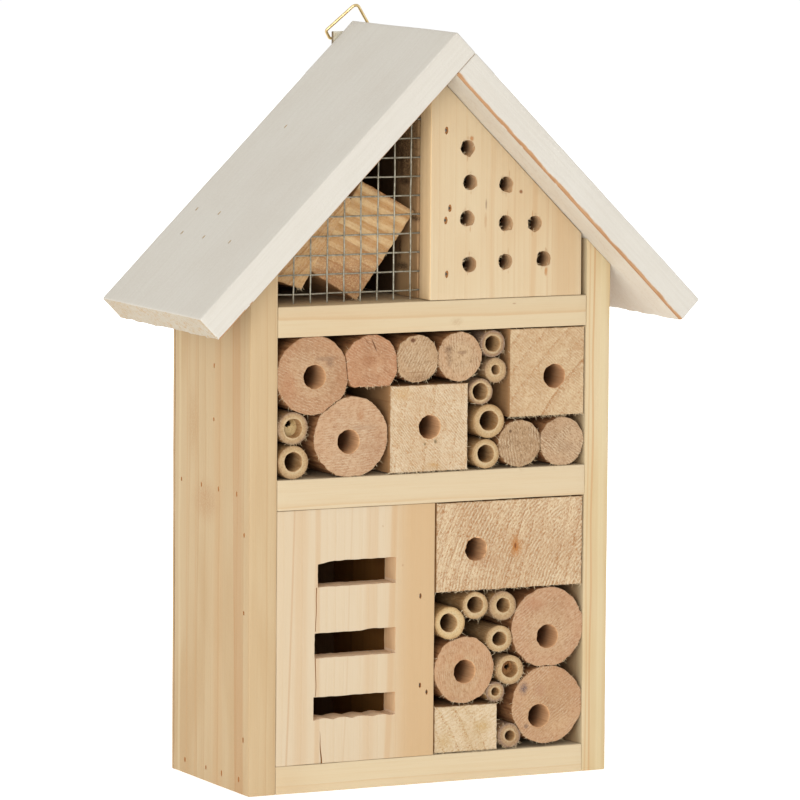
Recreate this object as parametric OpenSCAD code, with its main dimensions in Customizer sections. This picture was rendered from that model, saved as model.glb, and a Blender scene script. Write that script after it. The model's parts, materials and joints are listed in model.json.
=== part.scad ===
// House-shaped insect hotel: a nailed pine carcass with two sloping roof boards, a drilled gable,
// a wire-fronted bay, a slotted chamber, and two bays wedged full of logs, blocks and bamboo.
// X runs left to right, Y from the front to the back, Z up. The origin is on the underside,
// midway across the carcass and midway between its front and its back.

/* [Carcass] */
// Outside width of the carcass
body_w = 134; // [130:0.5:140]
// Depth of the carcass with its back panel
body_d = 61.5; // [58:0.5:66]
// Thickness of the left side board
left_t = 10; // [9.5:0.1:10.5]
// Thickness of the right side board
right_t = 9; // [8.5:0.1:9.5]
// Thickness of the bottom board
bottom_t = 9.4; // [9:0.1:9.5]
// Height of the underside of the middle shelf
mid_z = 94.9; // [94.9:0.1:95]
// Height of the underside of the top shelf
top_z = 152.5; // [152.4:0.1:153]
// Thickness of the two shelves
shelf_t = 10.2; // [10:0.1:10.2]
// Thickness of the plywood back panel
back_t = 1.5; // [1:0.1:2]

/* [Roof] */
// Slope of both roof boards in degrees
roof_angle = 44.7; // [44:0.1:46]
// Height of the peak on the underside of the roof
peak_z = 239; // [238:0.5:242]
// Sideways place of the peak
peak_x = 0.2; // [-1:0.1:1]
// Length of the underside of a roof board from peak to eave
roof_len = 120.5; // [115:0.5:125]
// Thickness of the roof boards
roof_t = 10; // [9.5:0.1:10.5]
// Front to back size of the roof boards
roof_d = 79; // [78:0.5:80]
// How far the roof stands out in front of the carcass
overhang = 15.7; // [12:0.1:17]

/* [Front panels] */
// Thickness of the drilled gable board
gable_t = 8.2; // [7.5:0.1:8.2]
// Diameter of the nest holes in the gable board
gable_hole_d = 5.8; // [5:0.1:6.5]
// Thickness of the slotted panel
slot_panel_t = 8.5; // [7.5:0.1:9]
// Right edge of the slotted panel
slot_panel_right = 1.5; // [1:0.1:1.6]
// Length of the entrance slots
slot_w = 29.5; // [25:0.5:32]
// Thickness of the divider behind the slotted panel
divider_t = 8.5; // [7:0.5:10]

/* [Wire mesh] */
// Diameter of the mesh wire
mesh_wire_d = 0.6; // [0.5:0.05:0.6]
// Spacing of the upright wires
mesh_pitch_x = 6.15; // [6:0.05:6.4]
// Spacing of the level wires
mesh_pitch_z = 6.35; // [6:0.05:6.4]

/* [Filling] */
// Length of the logs, blocks and bamboo
fill_len = 50; // [40:1:55]
// Diameter of the holes drilled in logs and blocks
nest_hole_d = 8.4; // [8:0.1:8.4]
// Depth of the drilled holes and of the open bamboo
nest_depth = 42; // [30:1:45]

/* [Hanger] */
// Diameter of the hanger wire
ring_wire_d = 1; // [0.8:0.05:1]
// Forward lean of the hanger from upright, in degrees
ring_lean = 32; // [28:0.5:32]
// Width of the hanger plate
plate_w = 14.4; // [13:0.2:15]

/* [Hidden] */
$fn = 48;

left_x = -body_w / 2;
right_x = body_w / 2;
in_left = left_x + left_t;
in_right = right_x - right_t;
front_y = -body_d / 2;
rear_y = body_d / 2;
in_rear = rear_y - back_t;
top_top = top_z + shelf_t;
slot_divider_x = slot_panel_right - divider_t;

// Brads: thin finishing nails, and the play of their holes
brad_d = 1.1;
brad_hole_d = 1.2;
brad_len = 22;
panel_brad_len = 14;
back_brad_len = 12;
// Wood left at the tip of a brad that ends inside its board
brad_cover = 0.4;

// Overshoot of a cutter past the face where it comes out
over = 1;

// Drilled gable: left and right edges, and the centre of each hole as [x, z]
gable_left = -1.2;
gable_right = 56;
gable_divider_t = 9.2;
gable_holes = [
    [12.5, 213.5], [13.5, 202], [12.5, 190], [13.5, 174.5],
    [27, 201], [27, 188], [27, 175],
    [38, 187.5], [41.5, 175.5]
];

// Entrance slots: left edge, and the centre height and the height of each
slot_left = -42.5;
slots = [[28.1, 7.6], [49.4, 8.8], [73.1, 8.6]];

// Mesh: first upright wire, first level wire, and a height above the last one
mesh_x0 = -53.6;
mesh_z0 = 165.7;
mesh_z_end = 230;
// Play under the roof and at the left side board, and how far level wires reach behind the gable board
mesh_top_gap = 0.8;
mesh_side_gap = 0.2;
mesh_tuck = 3;
mesh_weld = 0.05;
mesh_sides = 16;
mesh_y = front_y + gable_t + mesh_wire_d / 2 + 0.05;
mesh_rear = mesh_y + 1.5 * mesh_wire_d + 0.05;

// Setback of a piece of filling from the front of the carcass
fill_setback = 0.4;
fill_front = front_y + fill_setback;

// Logs: centre x, centre z, diameter, and the hole's offset from the centre, or none
logs = [
    [-43.9, 139.5, 24.7, [0.6, -0.5]],
    [-22.4, 142.3, 18.1, []],
    [-5.4, 143.5, 15.5, []],
    [10.5, 143.6, 15.9, []],
    [-29.8, 118.4, 25.6, [-0.9, -1.5]],
    [33.3, 113.3, 15.4, []],
    [49.4, 113.3, 16.1, []],
    [13, 37.6, 21.6, [0.3, -0.6]],
    [44.5, 50.3, 26.4, [0.1, -3.2]],
    [44.8, 23.8, 25.4, [-3.1, -3.7]]
];

// Blocks: left, right, bottom, top, and the centre of the hole, or none
blocks = [
    [29.3, 57.7, 122.2, 152.2, [46.2, 135.7]],
    [-15.4, 13.8, 105.3, 134.8, [-0.6, 120.4]],
    [2.2, 57.7, 64.2, 94.6, [17.2, 78.4]],
    [2, 25.9, 9.6, 25.6, []]
];

// Bamboo: centre x, centre z, outside diameter, bore diameter
canes = [
    [22.8, 147.5, 9.3, 5.8],
    [24, 138.5, 8.5, 3.6],
    [18.5, 131.5, 8.9, 6],
    [21.6, 121.4, 11.6, 7.2],
    [20.5, 110.4, 10.2, 6.4],
    [-51.2, 122.2, 11.1, 6.8],
    [-51, 110.9, 11.2, 6.8],
    [7.6, 53.8, 11.5, 7],
    [17.1, 59.2, 9.8, 6.4],
    [27.5, 58.5, 10.3, 5.4],
    [26.3, 47.4, 9.9, 5.8],
    [30.4, 36.5, 10.5, 6.2],
    [25, 29.3, 7, 3.2],
    [30.5, 14.1, 8.7, 4]
];

// Sawn offcuts in the wire-fronted bay: outline as [x, z] corners, and their front and rear
chunk_front = front_y + 11;
chunk_rear = 20;
big_chunk = [[-23, 162.8], [-1.6, 191.9], [-21.5, 202.6], [-40, 173.1]];
small_chunk = [[-56.8, 171.5], [-44, 167.8], [-40.9, 173.4], [-26.2, 197], [-31.5, 206.2], [-56.8, 181.2]];

// Hanger: plate, lug and pivot
plate_t = 1.6;
plate_gap = 0.05;
plate_x = peak_x + 0.1;
plate_low = 236;
plate_high = 249.4;
roof_rear = front_y - overhang + roof_d;
plate_y = roof_rear + plate_gap;
pivot_y = 37.15;
pivot_z = 246.8;
lug_w = 9;
lug_r = 1.6;
ring_play = 0.08;
screw_x = 4.2;
screw_z = 240.5;
screw_d = 2;
screw_hole_d = 2.2;
screw_len = 9;
screw_head_d = 4;
screw_head_t = 1.2;

// Hanger ring: corners in its own plane, [across, up], and the bend radius at each
ring_corners = [[-6.4, 0], [6.4, 0], [8.7, 3.2], [0, 14.5], [-8.7, 3.2]];
ring_bends = [1, 1, 1.2, 1.5, 1.2];
bend_steps = 5;
wire_sides = 16;
// Straight base wire that turns in the lug: half its length, its diameter, and its ends' cover
pin_half = 5.2;
pin_d = 0.96;
pin_inset = 0.4;

pine = [0.87, 0.72, 0.51];
ply = [0.80, 0.66, 0.47];
paint = [0.85, 0.82, 0.78];
bark_wood = [0.78, 0.62, 0.45];
straw = [0.85, 0.70, 0.45];
zinc = [0.62, 0.62, 0.58];
steel = [0.45, 0.42, 0.38];
gold = [0.80, 0.66, 0.38];

function log_name(i) = str("log_", i + 1);
function block_name(i) = str("block_", i + 1);
function cane_name(i) = str("bamboo_", i + 1);

// Height of the underside of the roof above a point x
function under_roof(x) = peak_z - abs(x - peak_x) * tan(roof_angle);

// Sideways place on the left slope at which the underside of the roof has height z
function left_slope_x(z) = peak_x - (peak_z - z) / tan(roof_angle);

// Upright slab from an outline in X and Z, between two depths
module slab(outline, y0, y1) {
    translate([0, y1, 0])
        rotate([90, 0, 0])
            linear_extrude(y1 - y0)
                polygon(outline);
}

// Straight-sided outline from x0 to x1 that follows the underside of the roof
function gable_outline(x0, x1, z0) =
    x0 < peak_x && x1 > peak_x
        ? [[x0, z0], [x1, z0], [x1, under_roof(x1)], [peak_x, peak_z], [x0, under_roof(x0)]]
        : [[x0, z0], [x1, z0], [x1, under_roof(x1)], [x0, under_roof(x0)]];

// Round rod along Y
module rod_y(d, x, z, y0, y1) {
    translate([x, y1, z])
        rotate([90, 0, 0])
            cylinder(d = d, h = y1 - y0);
}

// Round rod along X
module rod_x(d, y, z, x0, x1) {
    translate([x0, y, z])
        rotate([0, 90, 0])
            cylinder(d = d, h = x1 - x0);
}

// ---- Brads, drawn at a given diameter so that the same sets also cut their holes ----

module left_brads(d) {
    for (y = [-20.5, -6, 7.5, 23.5])
        rod_x(d, y, mid_z + shelf_t / 2, left_x, left_x + brad_len);
    for (y = [-23, -9.5, 3, 20])
        rod_x(d, y, bottom_t / 2, left_x, left_x + brad_len);
    for (z = [18.5, 61, 87])
        rod_x(d, front_y + slot_panel_t / 2, z, left_x, left_x + panel_brad_len);
    for (z = [123, 141])
        rod_x(d, -2.2, z, left_x, left_x + left_t - brad_cover);
}

module right_brads(d) {
    for (z = [bottom_t / 2, mid_z + shelf_t / 2, top_z + shelf_t / 2], y = [-20, 0, 20])
        rod_x(d, y, z, right_x - brad_len, right_x);
}

// Brads of one roof slope, in the frame of that slope: s down from the peak, on the top face
module slope_brad(side, s, y, d, length) {
    translate([peak_x, y, peak_z])
        rotate([0, side * roof_angle, 0])
            translate([side * s, 0, roof_t - length])
                cylinder(d = d, h = length);
}

module roof_brads(d) {
    for (y = [-20, 0.5, 18])
        slope_brad(-1, 88.5, y, d, brad_len);
    for (y = [-20, 0.5, 18])
        slope_brad(1, 88.5, y, d, brad_len);
    for (y = [4.5, 22.5])
        slope_brad(-1, 78, y, d, roof_t - brad_cover);
    slope_brad(-1, 38.5, 12.5, d, roof_t - brad_cover);
    for (y = [-38.5, -5, 24])
        slope_brad(-1, -roof_t / 2, y, d, brad_len);
}

module front_brads(d) {
    for (p = [[4.5, 219.5], [6, 193.5], [4.5, 189.5], [5, 171.5]])
        rod_y(d, p[0], p[1], front_y, front_y + brad_len);
    for (p = [[-3.8, 63.7], [-3.7, 33.5], [-1.2, 31]])
        rod_y(d, p[0], p[1], front_y, front_y + brad_len);
}

module back_brads(d) {
    for (z = [20, 75, 130], x = [left_x + left_t / 2, right_x - right_t / 2])
        rod_y(d, x, z, rear_y - back_brad_len, rear_y);
    for (z = [bottom_t / 2, mid_z + shelf_t / 2, top_z + shelf_t / 2], x = [-30, 30])
        rod_y(d, x, z, rear_y - back_brad_len, rear_y);
}

// ---- Carcass ----

module left_side() {
    color(pine)
        difference() {
            slab(gable_outline(left_x, in_left, 0), front_y, in_rear);
            left_brads(brad_hole_d);
            roof_brads(brad_hole_d);
            back_brads(brad_hole_d);
        }
}

module right_side() {
    color(pine)
        difference() {
            slab(gable_outline(in_right, right_x, 0), front_y, in_rear);
            right_brads(brad_hole_d);
            roof_brads(brad_hole_d);
            back_brads(brad_hole_d);
        }
}

// Level board between the two sides
module level_board(z, t) {
    color(pine)
        difference() {
            translate([in_left, front_y, z])
                cube([in_right - in_left, in_rear - front_y, t]);
            left_brads(brad_hole_d);
            right_brads(brad_hole_d);
            back_brads(brad_hole_d);
        }
}

module bottom_board() {
    level_board(0, bottom_t);
}

module middle_shelf() {
    level_board(mid_z, shelf_t);
}

module top_shelf() {
    level_board(top_z, shelf_t);
}

module back_panel() {
    color(ply)
        difference() {
            slab(gable_outline(left_x, right_x, 0), in_rear, rear_y);
            back_brads(brad_hole_d);
        }
}

module slot_divider() {
    color(pine)
        difference() {
            translate([slot_divider_x, front_y + slot_panel_t, bottom_t])
                cube([divider_t, in_rear - front_y - slot_panel_t, mid_z - bottom_t]);
            front_brads(brad_hole_d);
        }
}

module gable_divider() {
    color(pine)
        difference() {
            slab(gable_outline(gable_left, gable_left + gable_divider_t, top_top), mesh_rear, in_rear);
            front_brads(brad_hole_d);
        }
}

// ---- Roof: the left board runs on over the upper end of the right board ----

// Point in X and Z that lies s along a slope and t above its underside
function slope_point(side, s, t) = [
    peak_x + side * (s * cos(roof_angle) + t * sin(roof_angle)),
    peak_z - s * sin(roof_angle) + t * cos(roof_angle)
];

module roof_left() {
    lap = roof_t / sin(180 - 2 * roof_angle);
    color(paint)
        difference() {
            slab([slope_point(-1, -lap, 0), slope_point(-1, -lap, roof_t),
                  slope_point(-1, roof_len, roof_t), slope_point(-1, roof_len, 0)],
                 front_y - overhang, roof_rear);
            roof_brads(brad_hole_d);
            hanger_screw_set(screw_d, 0);
        }
}

module roof_right() {
    // The butted end lies against the underside of the left board
    butt = roof_t / tan(180 - 2 * roof_angle);
    color(paint)
        difference() {
            slab([slope_point(1, 0, 0), slope_point(1, -butt, roof_t),
                  slope_point(1, roof_len, roof_t), slope_point(1, roof_len, 0)],
                 front_y - overhang, roof_rear);
            roof_brads(brad_hole_d);
            hanger_screw_set(screw_d, 0);
        }
}

// ---- Front panels ----

module slot_panel() {
    color(pine)
        difference() {
            translate([in_left, front_y, bottom_t])
                cube([slot_panel_right - in_left, slot_panel_t, mid_z - bottom_t]);
            for (s = slots)
                translate([slot_left, front_y - over, s[0] - s[1] / 2])
                    cube([slot_w, slot_panel_t + 2 * over, s[1]]);
            left_brads(brad_hole_d);
            front_brads(brad_hole_d);
        }
}

module drilled_gable() {
    color(pine)
        difference() {
            slab(gable_outline(gable_left, gable_right, top_top), front_y, front_y + gable_t);
            for (p = gable_holes)
                rod_y(gable_hole_d, p[0], p[1], front_y - over, front_y + gable_t + over);
            front_brads(brad_hole_d);
        }
}

// Welded square mesh: its level wires are pinched behind the gable board
module wire_mesh() {
    upright_y = mesh_y;
    level_y = mesh_y + mesh_wire_d - mesh_weld;
    color(zinc) {
        for (x = [mesh_x0 : mesh_pitch_x : gable_left - 1])
            translate([x, upright_y, top_top])
                cylinder(d = mesh_wire_d, h = under_roof(x) - mesh_top_gap - top_top, $fn = mesh_sides);
        for (z = [mesh_z0 : mesh_pitch_z : mesh_z_end]) {
            x0 = max(in_left + mesh_side_gap, left_slope_x(z + mesh_top_gap));
            translate([x0, level_y, z])
                rotate([0, 90, 0])
                    cylinder(d = mesh_wire_d, h = gable_left + mesh_tuck - x0, $fn = mesh_sides);
        }
    }
}

module big_chunk() {
    color(pine) slab(big_chunk, chunk_front, chunk_rear);
}

module small_chunk() {
    color(pine) slab(small_chunk, chunk_front, chunk_rear);
}

// ---- Filling ----

module log_piece(i) {
    p = logs[i];
    color(bark_wood)
        difference() {
            rod_y(p[2], p[0], p[1], fill_front, fill_front + fill_len);
            if (len(p[3]) > 0)
                rod_y(nest_hole_d, p[0] + p[3][0], p[1] + p[3][1], fill_front - over, fill_front + nest_depth);
        }
}

module block_piece(i) {
    p = blocks[i];
    color(pine)
        difference() {
            translate([p[0], fill_front, p[2]])
                cube([p[1] - p[0], fill_len, p[3] - p[2]]);
            if (len(p[4]) > 0)
                rod_y(nest_hole_d, p[4][0], p[4][1], fill_front - over, fill_front + nest_depth);
        }
}

module cane_piece(i) {
    p = canes[i];
    color(straw)
        difference() {
            rod_y(p[2], p[0], p[1], fill_front, fill_front + fill_len);
            rod_y(p[3], p[0], p[1], fill_front - over, fill_front + nest_depth);
        }
}

// ---- Hanger ----

// Two screws driven from the back through the plate, at a shank diameter and with a head
module hanger_screw_set(d, head) {
    for (side = [-1, 1]) {
        x = plate_x + side * screw_x;
        rod_y(d, x, screw_z, plate_y + plate_t - screw_len, plate_y + plate_t);
        if (head > 0)
            rod_y(screw_head_d, x, screw_z, plate_y + plate_t, plate_y + plate_t + screw_head_t);
    }
}

// Plate on the rear ends of both roof boards, with a drilled lug for the ring
module hanger_plate() {
    color(gold)
        difference() {
            union() {
                translate([plate_x - plate_w / 2, plate_y, plate_low])
                    cube([plate_w, plate_t, plate_high - plate_low]);
                translate([plate_x - lug_w / 2, plate_y + plate_t / 2, pivot_z - lug_r])
                    cube([lug_w, pivot_y - plate_y - plate_t / 2, 2 * lug_r]);
                rod_x(2 * lug_r, pivot_y, pivot_z, plate_x - lug_w / 2, plate_x + lug_w / 2);
            }
            rod_x(ring_wire_d + 2 * ring_play, pivot_y, pivot_z, plate_x - lug_w, plate_x + lug_w);
            hanger_screw_set(screw_hole_d, 0);
        }
}

module hanger_screws() {
    color(steel) hanger_screw_set(screw_d, 1);
}

function unit(v) = v / norm(v);
function heading(v) = atan2(v[1], v[0]);

// Turn to the left at a corner, in degrees
function turn(a, b, c) = (heading(c - b) - heading(b - a) + 540) % 360 - 180;

// Points along the bend of radius r that rounds off corner b
function bend_points(a, b, c, r) =
    let (begin = b - r * tan(turn(a, b, c) / 2) * unit(b - a),
         side = heading(b - a) + 90,
         centre = begin + r * [cos(side), sin(side)])
    [for (k = [0 : bend_steps])
        let (angle = side - 180 + turn(a, b, c) * k / bend_steps)
        centre + r * [cos(angle), sin(angle)]];

// Centre line of the wire, from the right end of its base wire round to the left end
function ring_path() =
    let (n = len(ring_corners))
    concat([[pin_half, 0]],
           [for (i = [1 : n])
               each bend_points(ring_corners[i - 1], ring_corners[i % n], ring_corners[(i + 1) % n],
                                ring_bends[i % n])],
           [[-pin_half, 0]]);

// Wire of diameter d swept along a path in the XY plane
module swept_wire(path, d) {
    n = len(path);
    m = wire_sides;
    points = [for (i = [0 : n - 1])
        let (along = path[min(i + 1, n - 1)] - path[max(i - 1, 0)],
             across = unit([-along[1], along[0]]))
        for (j = [0 : m - 1])
            let (u = d / 2 * cos(360 * j / m), w = d / 2 * sin(360 * j / m))
            [path[i][0] + u * across[0], path[i][1] + u * across[1], w]];
    sides = [for (i = [0 : n - 2], j = [0 : m - 1])
        let (a = i * m + j, b = i * m + (j + 1) % m)
        each [[a, b + m, b], [a, a + m, b + m]]];
    caps = [[for (j = [0 : m - 1]) j], [for (j = [m - 1 : -1 : 0]) (n - 1) * m + j]];
    polyhedron(points, concat(sides, caps));
}

// The ring turns on its base wire and rests against the ridge of the roof
module hanger_ring() {
    color(gold)
        translate([plate_x, pivot_y, pivot_z])
            rotate([90 + ring_lean, 0, 0]) {
                swept_wire(ring_path(), ring_wire_d);
                rod_x(pin_d, 0, 0, -pin_half - pin_inset, pin_half + pin_inset);
            }
}

// ---- Nails ----

module brads_left() {
    color(steel) left_brads(brad_d);
}

module brads_right() {
    color(steel) right_brads(brad_d);
}

module brads_roof() {
    color(steel) roof_brads(brad_d);
}

module brads_front() {
    color(steel) front_brads(brad_d);
}

module brads_back() {
    color(steel) back_brads(brad_d);
}

left_side();
right_side();
bottom_board();
middle_shelf();
top_shelf();
back_panel();
slot_divider();
gable_divider();
roof_left();
roof_right();
slot_panel();
drilled_gable();
wire_mesh();
big_chunk();
small_chunk();
hanger_plate();
hanger_ring();
hanger_screws();
brads_left();
brads_right();
brads_roof();
brads_front();
brads_back();
for (i = [0 : len(logs) - 1])
    log_piece(i);
for (i = [0 : len(blocks) - 1])
    block_piece(i);
for (i = [0 : len(canes) - 1])
    cane_piece(i);
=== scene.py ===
"""Looks of a small wooden insect hotel: sawn pine boards, painted roof, logs, blocks, canes and wire."""

import json
import math
import random

import bmesh
import bpy
import numpy as np
from mathutils import Matrix, Vector, noise


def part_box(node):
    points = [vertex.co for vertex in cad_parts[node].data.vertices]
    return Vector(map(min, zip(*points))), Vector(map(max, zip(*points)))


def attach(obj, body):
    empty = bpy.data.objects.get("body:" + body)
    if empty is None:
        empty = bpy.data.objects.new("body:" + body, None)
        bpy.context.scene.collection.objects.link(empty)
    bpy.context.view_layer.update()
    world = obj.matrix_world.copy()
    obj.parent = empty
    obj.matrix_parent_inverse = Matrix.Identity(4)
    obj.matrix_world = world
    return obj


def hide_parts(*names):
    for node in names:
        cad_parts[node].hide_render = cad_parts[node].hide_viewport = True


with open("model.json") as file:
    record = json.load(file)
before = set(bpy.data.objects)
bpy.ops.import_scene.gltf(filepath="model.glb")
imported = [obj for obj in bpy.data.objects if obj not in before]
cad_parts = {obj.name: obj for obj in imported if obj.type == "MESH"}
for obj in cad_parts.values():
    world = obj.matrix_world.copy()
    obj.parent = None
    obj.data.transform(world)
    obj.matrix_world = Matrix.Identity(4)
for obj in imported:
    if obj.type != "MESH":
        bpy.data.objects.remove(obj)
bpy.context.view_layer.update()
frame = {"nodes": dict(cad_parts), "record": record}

# Sizes are in millimetres, and each mesh is turned into metres when it is built.
MM = 0.001
# The roof as in the CAD: its slope, where the lower faces meet, and one board's length and thickness
SLOPE = math.radians(44.7)
PEAK = (0.2, 239.0)
ROOF_LEN = 120.5
ROOF_T = 10.0
# The hanger's axis, and how far the wire tips forward from upright at rest
PIVOT = Vector((0.3, 37.15, 246.8))
RING_LEAN = math.radians(32)
# How deep the nest holes are, and the radius of those in the logs and blocks
BORE_DEPTH = 42.0
DRILL_R = 4.15
# Brightness of a surface that shows as white in the studio's light
EXPOSURE = 0.60
# A spot smaller than this keeps a crisp edge
CRISP_SPOT = 1.1

dice = random.Random(11)


# ---------------------------------------------------------------- reading the frame


def place(node):
    """Lowest and highest corner of a CAD node, in millimetres."""
    low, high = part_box(node)
    return low / MM, high / MM


def openings():
    """The record's openings as {name: (lowest corner, highest corner)}, in millimetres."""
    return {
        o["name"]: (Vector(o["box_m"][0]) / MM, Vector(o["box_m"][1]) / MM)
        for o in frame["record"]["physics"]["openings"]
    }


def rods(node, outward):
    """Each straight rod in a CAD node, as (end that faces outward, direction into the wood, length)."""
    mesh = bmesh.new()
    mesh.from_mesh(frame["nodes"][node].data)
    bmesh.ops.remove_doubles(mesh, verts=mesh.verts, dist=1e-6)
    seen, found = set(), []
    for start in mesh.verts:
        if start in seen:
            continue
        island, todo = [], [start]
        seen.add(start)
        while todo:
            vert = todo.pop()
            island.append(vert.co / MM)
            for edge in vert.link_edges:
                other = edge.other_vert(vert)
                if other not in seen:
                    seen.add(other)
                    todo.append(other)
        points = np.array(island)
        middle = points.mean(0)
        axis = Vector(np.linalg.eigh(np.cov((points - middle).T))[1][:, 2])
        if axis.dot(Vector(outward)) < 0:
            axis.negate()
        along = (points - middle) @ np.array(axis)
        found.append((Vector(middle) + axis * along.max(), -axis, along.max() - along.min()))
    mesh.free()
    return found


HOLES = openings()
GABLE_HOLES = [ends for name, ends in HOLES.items() if name.startswith("gable_hole")]


# ---------------------------------------------------------------- materials


def tone(red, green, blue):
    """Surface colour that shows as this sRGB colour in the studio's light."""
    parts = [c / 255 for c in (red, green, blue)]
    linear = [c / 12.92 if c <= 0.04045 else ((c + 0.055) / 1.055) ** 2.4 for c in parts]
    return tuple(c * EXPOSURE for c in linear) + (1.0,)


class Look:
    """One material's node tree, with its texture space in millimetres of the shared frame."""

    def __init__(self, name, roughness=0.8, specular=0.2, metallic=0.0):
        self.material = bpy.data.materials.new(name)
        self.material.use_nodes = True
        self.tree = self.material.node_tree
        self.surface = self.tree.nodes["Principled BSDF"]
        self.surface.inputs["Roughness"].default_value = roughness
        self.surface.inputs["Specular IOR Level"].default_value = specular
        self.surface.inputs["Metallic"].default_value = metallic
        self.place = self.add("TexCoord", {}, {}, "Object")

    def add(self, kind, settings, inputs, output=0):
        node = self.tree.nodes.new("ShaderNode" + kind)
        for key, value in settings.items():
            setattr(node, key, value)
        for key, value in inputs.items():
            if isinstance(value, bpy.types.NodeSocket):
                self.tree.links.new(value, node.inputs[key])
            else:
                node.inputs[key].default_value = value
        return node.outputs[output]

    def space(self, scale=1, offset=(0, 0, 0), turn=0.0):
        """Coordinates in millimetres, turned about Y, then stretched by one number or three, and moved."""
        place = self.place
        if turn:
            place = self.add("Mapping", {}, {"Vector": place, "Rotation": (0, turn, 0)})
        scales = scale if isinstance(scale, tuple) else (scale,) * 3
        return self.add("Mapping", {}, {"Vector": place, "Scale": [s / MM for s in scales],
                                        "Location": offset})

    def part(self, place, axis):
        """X, Y or Z of a place, by number."""
        return self.add("SeparateXYZ", {}, {0: place}, axis)

    def length(self, vector):
        return self.add("VectorMath", {"operation": "LENGTH"}, {0: vector}, "Value")

    def off_line(self, place, grain):
        """Distance from the line along the grain through the origin."""
        return self.length(self.add("VectorMath", {"operation": "MULTIPLY"}, {0: place, 1: ACROSS[grain]}))

    def spot(self, colour, centre, radii, tint, amount, turn=0.0):
        """A soft-edged oval patch of another colour, such as a knot, a smudge or a painted shadow."""
        moved = self.space(1, [-c for c in centre])
        if turn:
            moved = self.add("Mapping", {}, {"Vector": moved, "Rotation": (0, turn, 0)})
        shrunk = self.add("VectorMath", {"operation": "DIVIDE"}, {0: moved, 1: radii})
        rough_edge = self.noise(self.space(0.9, centre), 4.0, 0.6)
        ragged = self.calc("MULTIPLY_ADD", rough_edge, 0.7, self.length(shrunk))
        if min(radii[0], radii[2]) < CRISP_SPOT:
            return self.mix(self.grade(ragged, 0.8, 1.55, amount, 0.0), colour, tint)
        grain = self.grade(self.noise(self.space(2.2, centre), 3.0, 0.6), 0.34, 0.6, 0.25, 1.0)
        core = self.grade(ragged, 0.5, 1.75, min(1.0, 1.7 * amount), 0.0)
        return self.mix(self.calc("MULTIPLY", core, grain), colour, tint)

    def band(self, colour, grain, centre, half, tint, amount, lean=0.0):
        """A strip of growth along the grain. centre is its place across the board at the height z = 0,
        or (axis, place), and lean is how far it moves sideways per millimetre of height."""
        across = {"X": 2, "Y": 0, "Z": 0}[grain]
        if isinstance(centre, tuple):
            across, centre = centre
        place = self.space()
        waver = self.noise(self.space(along(grain, 0.02, 0.0), (centre, 0, 0)), 1.0)
        base = self.calc("MULTIPLY_ADD", self.part(place, 2), -lean, self.part(place, across))
        away = self.calc("SUBTRACT", self.calc("MULTIPLY_ADD", waver, 1.6, base), centre + 0.8)
        away = self.calc("ABSOLUTE", away)
        return self.mix(self.grade(away, half * 0.35, half, amount, 0.0), colour, tint)

    def shade_deeper(self, colour, start, end, tint):
        """Painted shade: turns to a darker colour between two distances behind the front, as a hole or bay
        darkens further in.
        """
        return self.mix(self.grade(self.part(self.space(), 1), start, end, 0.0, 0.9), colour, tint)

    def noise(self, space, detail=3.0, rough=0.5, warp=0.0):
        inputs = {"Vector": space, "Scale": 1.0, "Detail": detail, "Roughness": rough, "Distortion": warp}
        return self.add("TexNoise", {}, inputs)

    def calc(self, operation, a, b=0.0, c=0.0):
        return self.add("Math", {"operation": operation}, {0: a, 1: b, 2: c})

    def grade(self, value, low, high, to_low=0.0, to_high=1.0):
        """Smooth step of a value between low and high."""
        inputs = {"Value": value, "From Min": low, "From Max": high, "To Min": to_low, "To Max": to_high}
        return self.add("MapRange", {"interpolation_type": "SMOOTHSTEP"}, inputs)

    def mix(self, factor, a, b):
        """Blend of two colours. Each is a socket, an sRGB colour or a surface colour of four numbers."""
        a, b = (tone(*c) if isinstance(c, tuple) and len(c) == 3 else c for c in (a, b))
        return self.add("Mix", {"data_type": "RGBA"}, {0: factor, 6: a, 7: b}, 2)

    def relief(self, height, depth, normal=None):
        """Bump of the given depth in millimetres, on top of an earlier one."""
        inputs = {"Height": height, "Distance": depth * MM, "Strength": 1.0}
        if normal is not None:
            inputs["Normal"] = normal
        return self.add("Bump", {}, inputs)

    def finish(self, colour, normal=None, roughness=None):
        self.tree.links.new(colour, self.surface.inputs["Base Color"])
        if normal is not None:
            self.tree.links.new(normal, self.surface.inputs["Normal"])
        if roughness is not None:
            self.tree.links.new(roughness, self.surface.inputs["Roughness"])
        return self.material


ACROSS = {"X": (0, 1, 1), "Y": (1, 0, 1), "Z": (1, 1, 0)}


def along(grain, lengthwise, crosswise):
    """Texture scale with one value along the grain and another across it."""
    return tuple(crosswise if m else lengthwise for m in ACROSS[grain])


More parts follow.
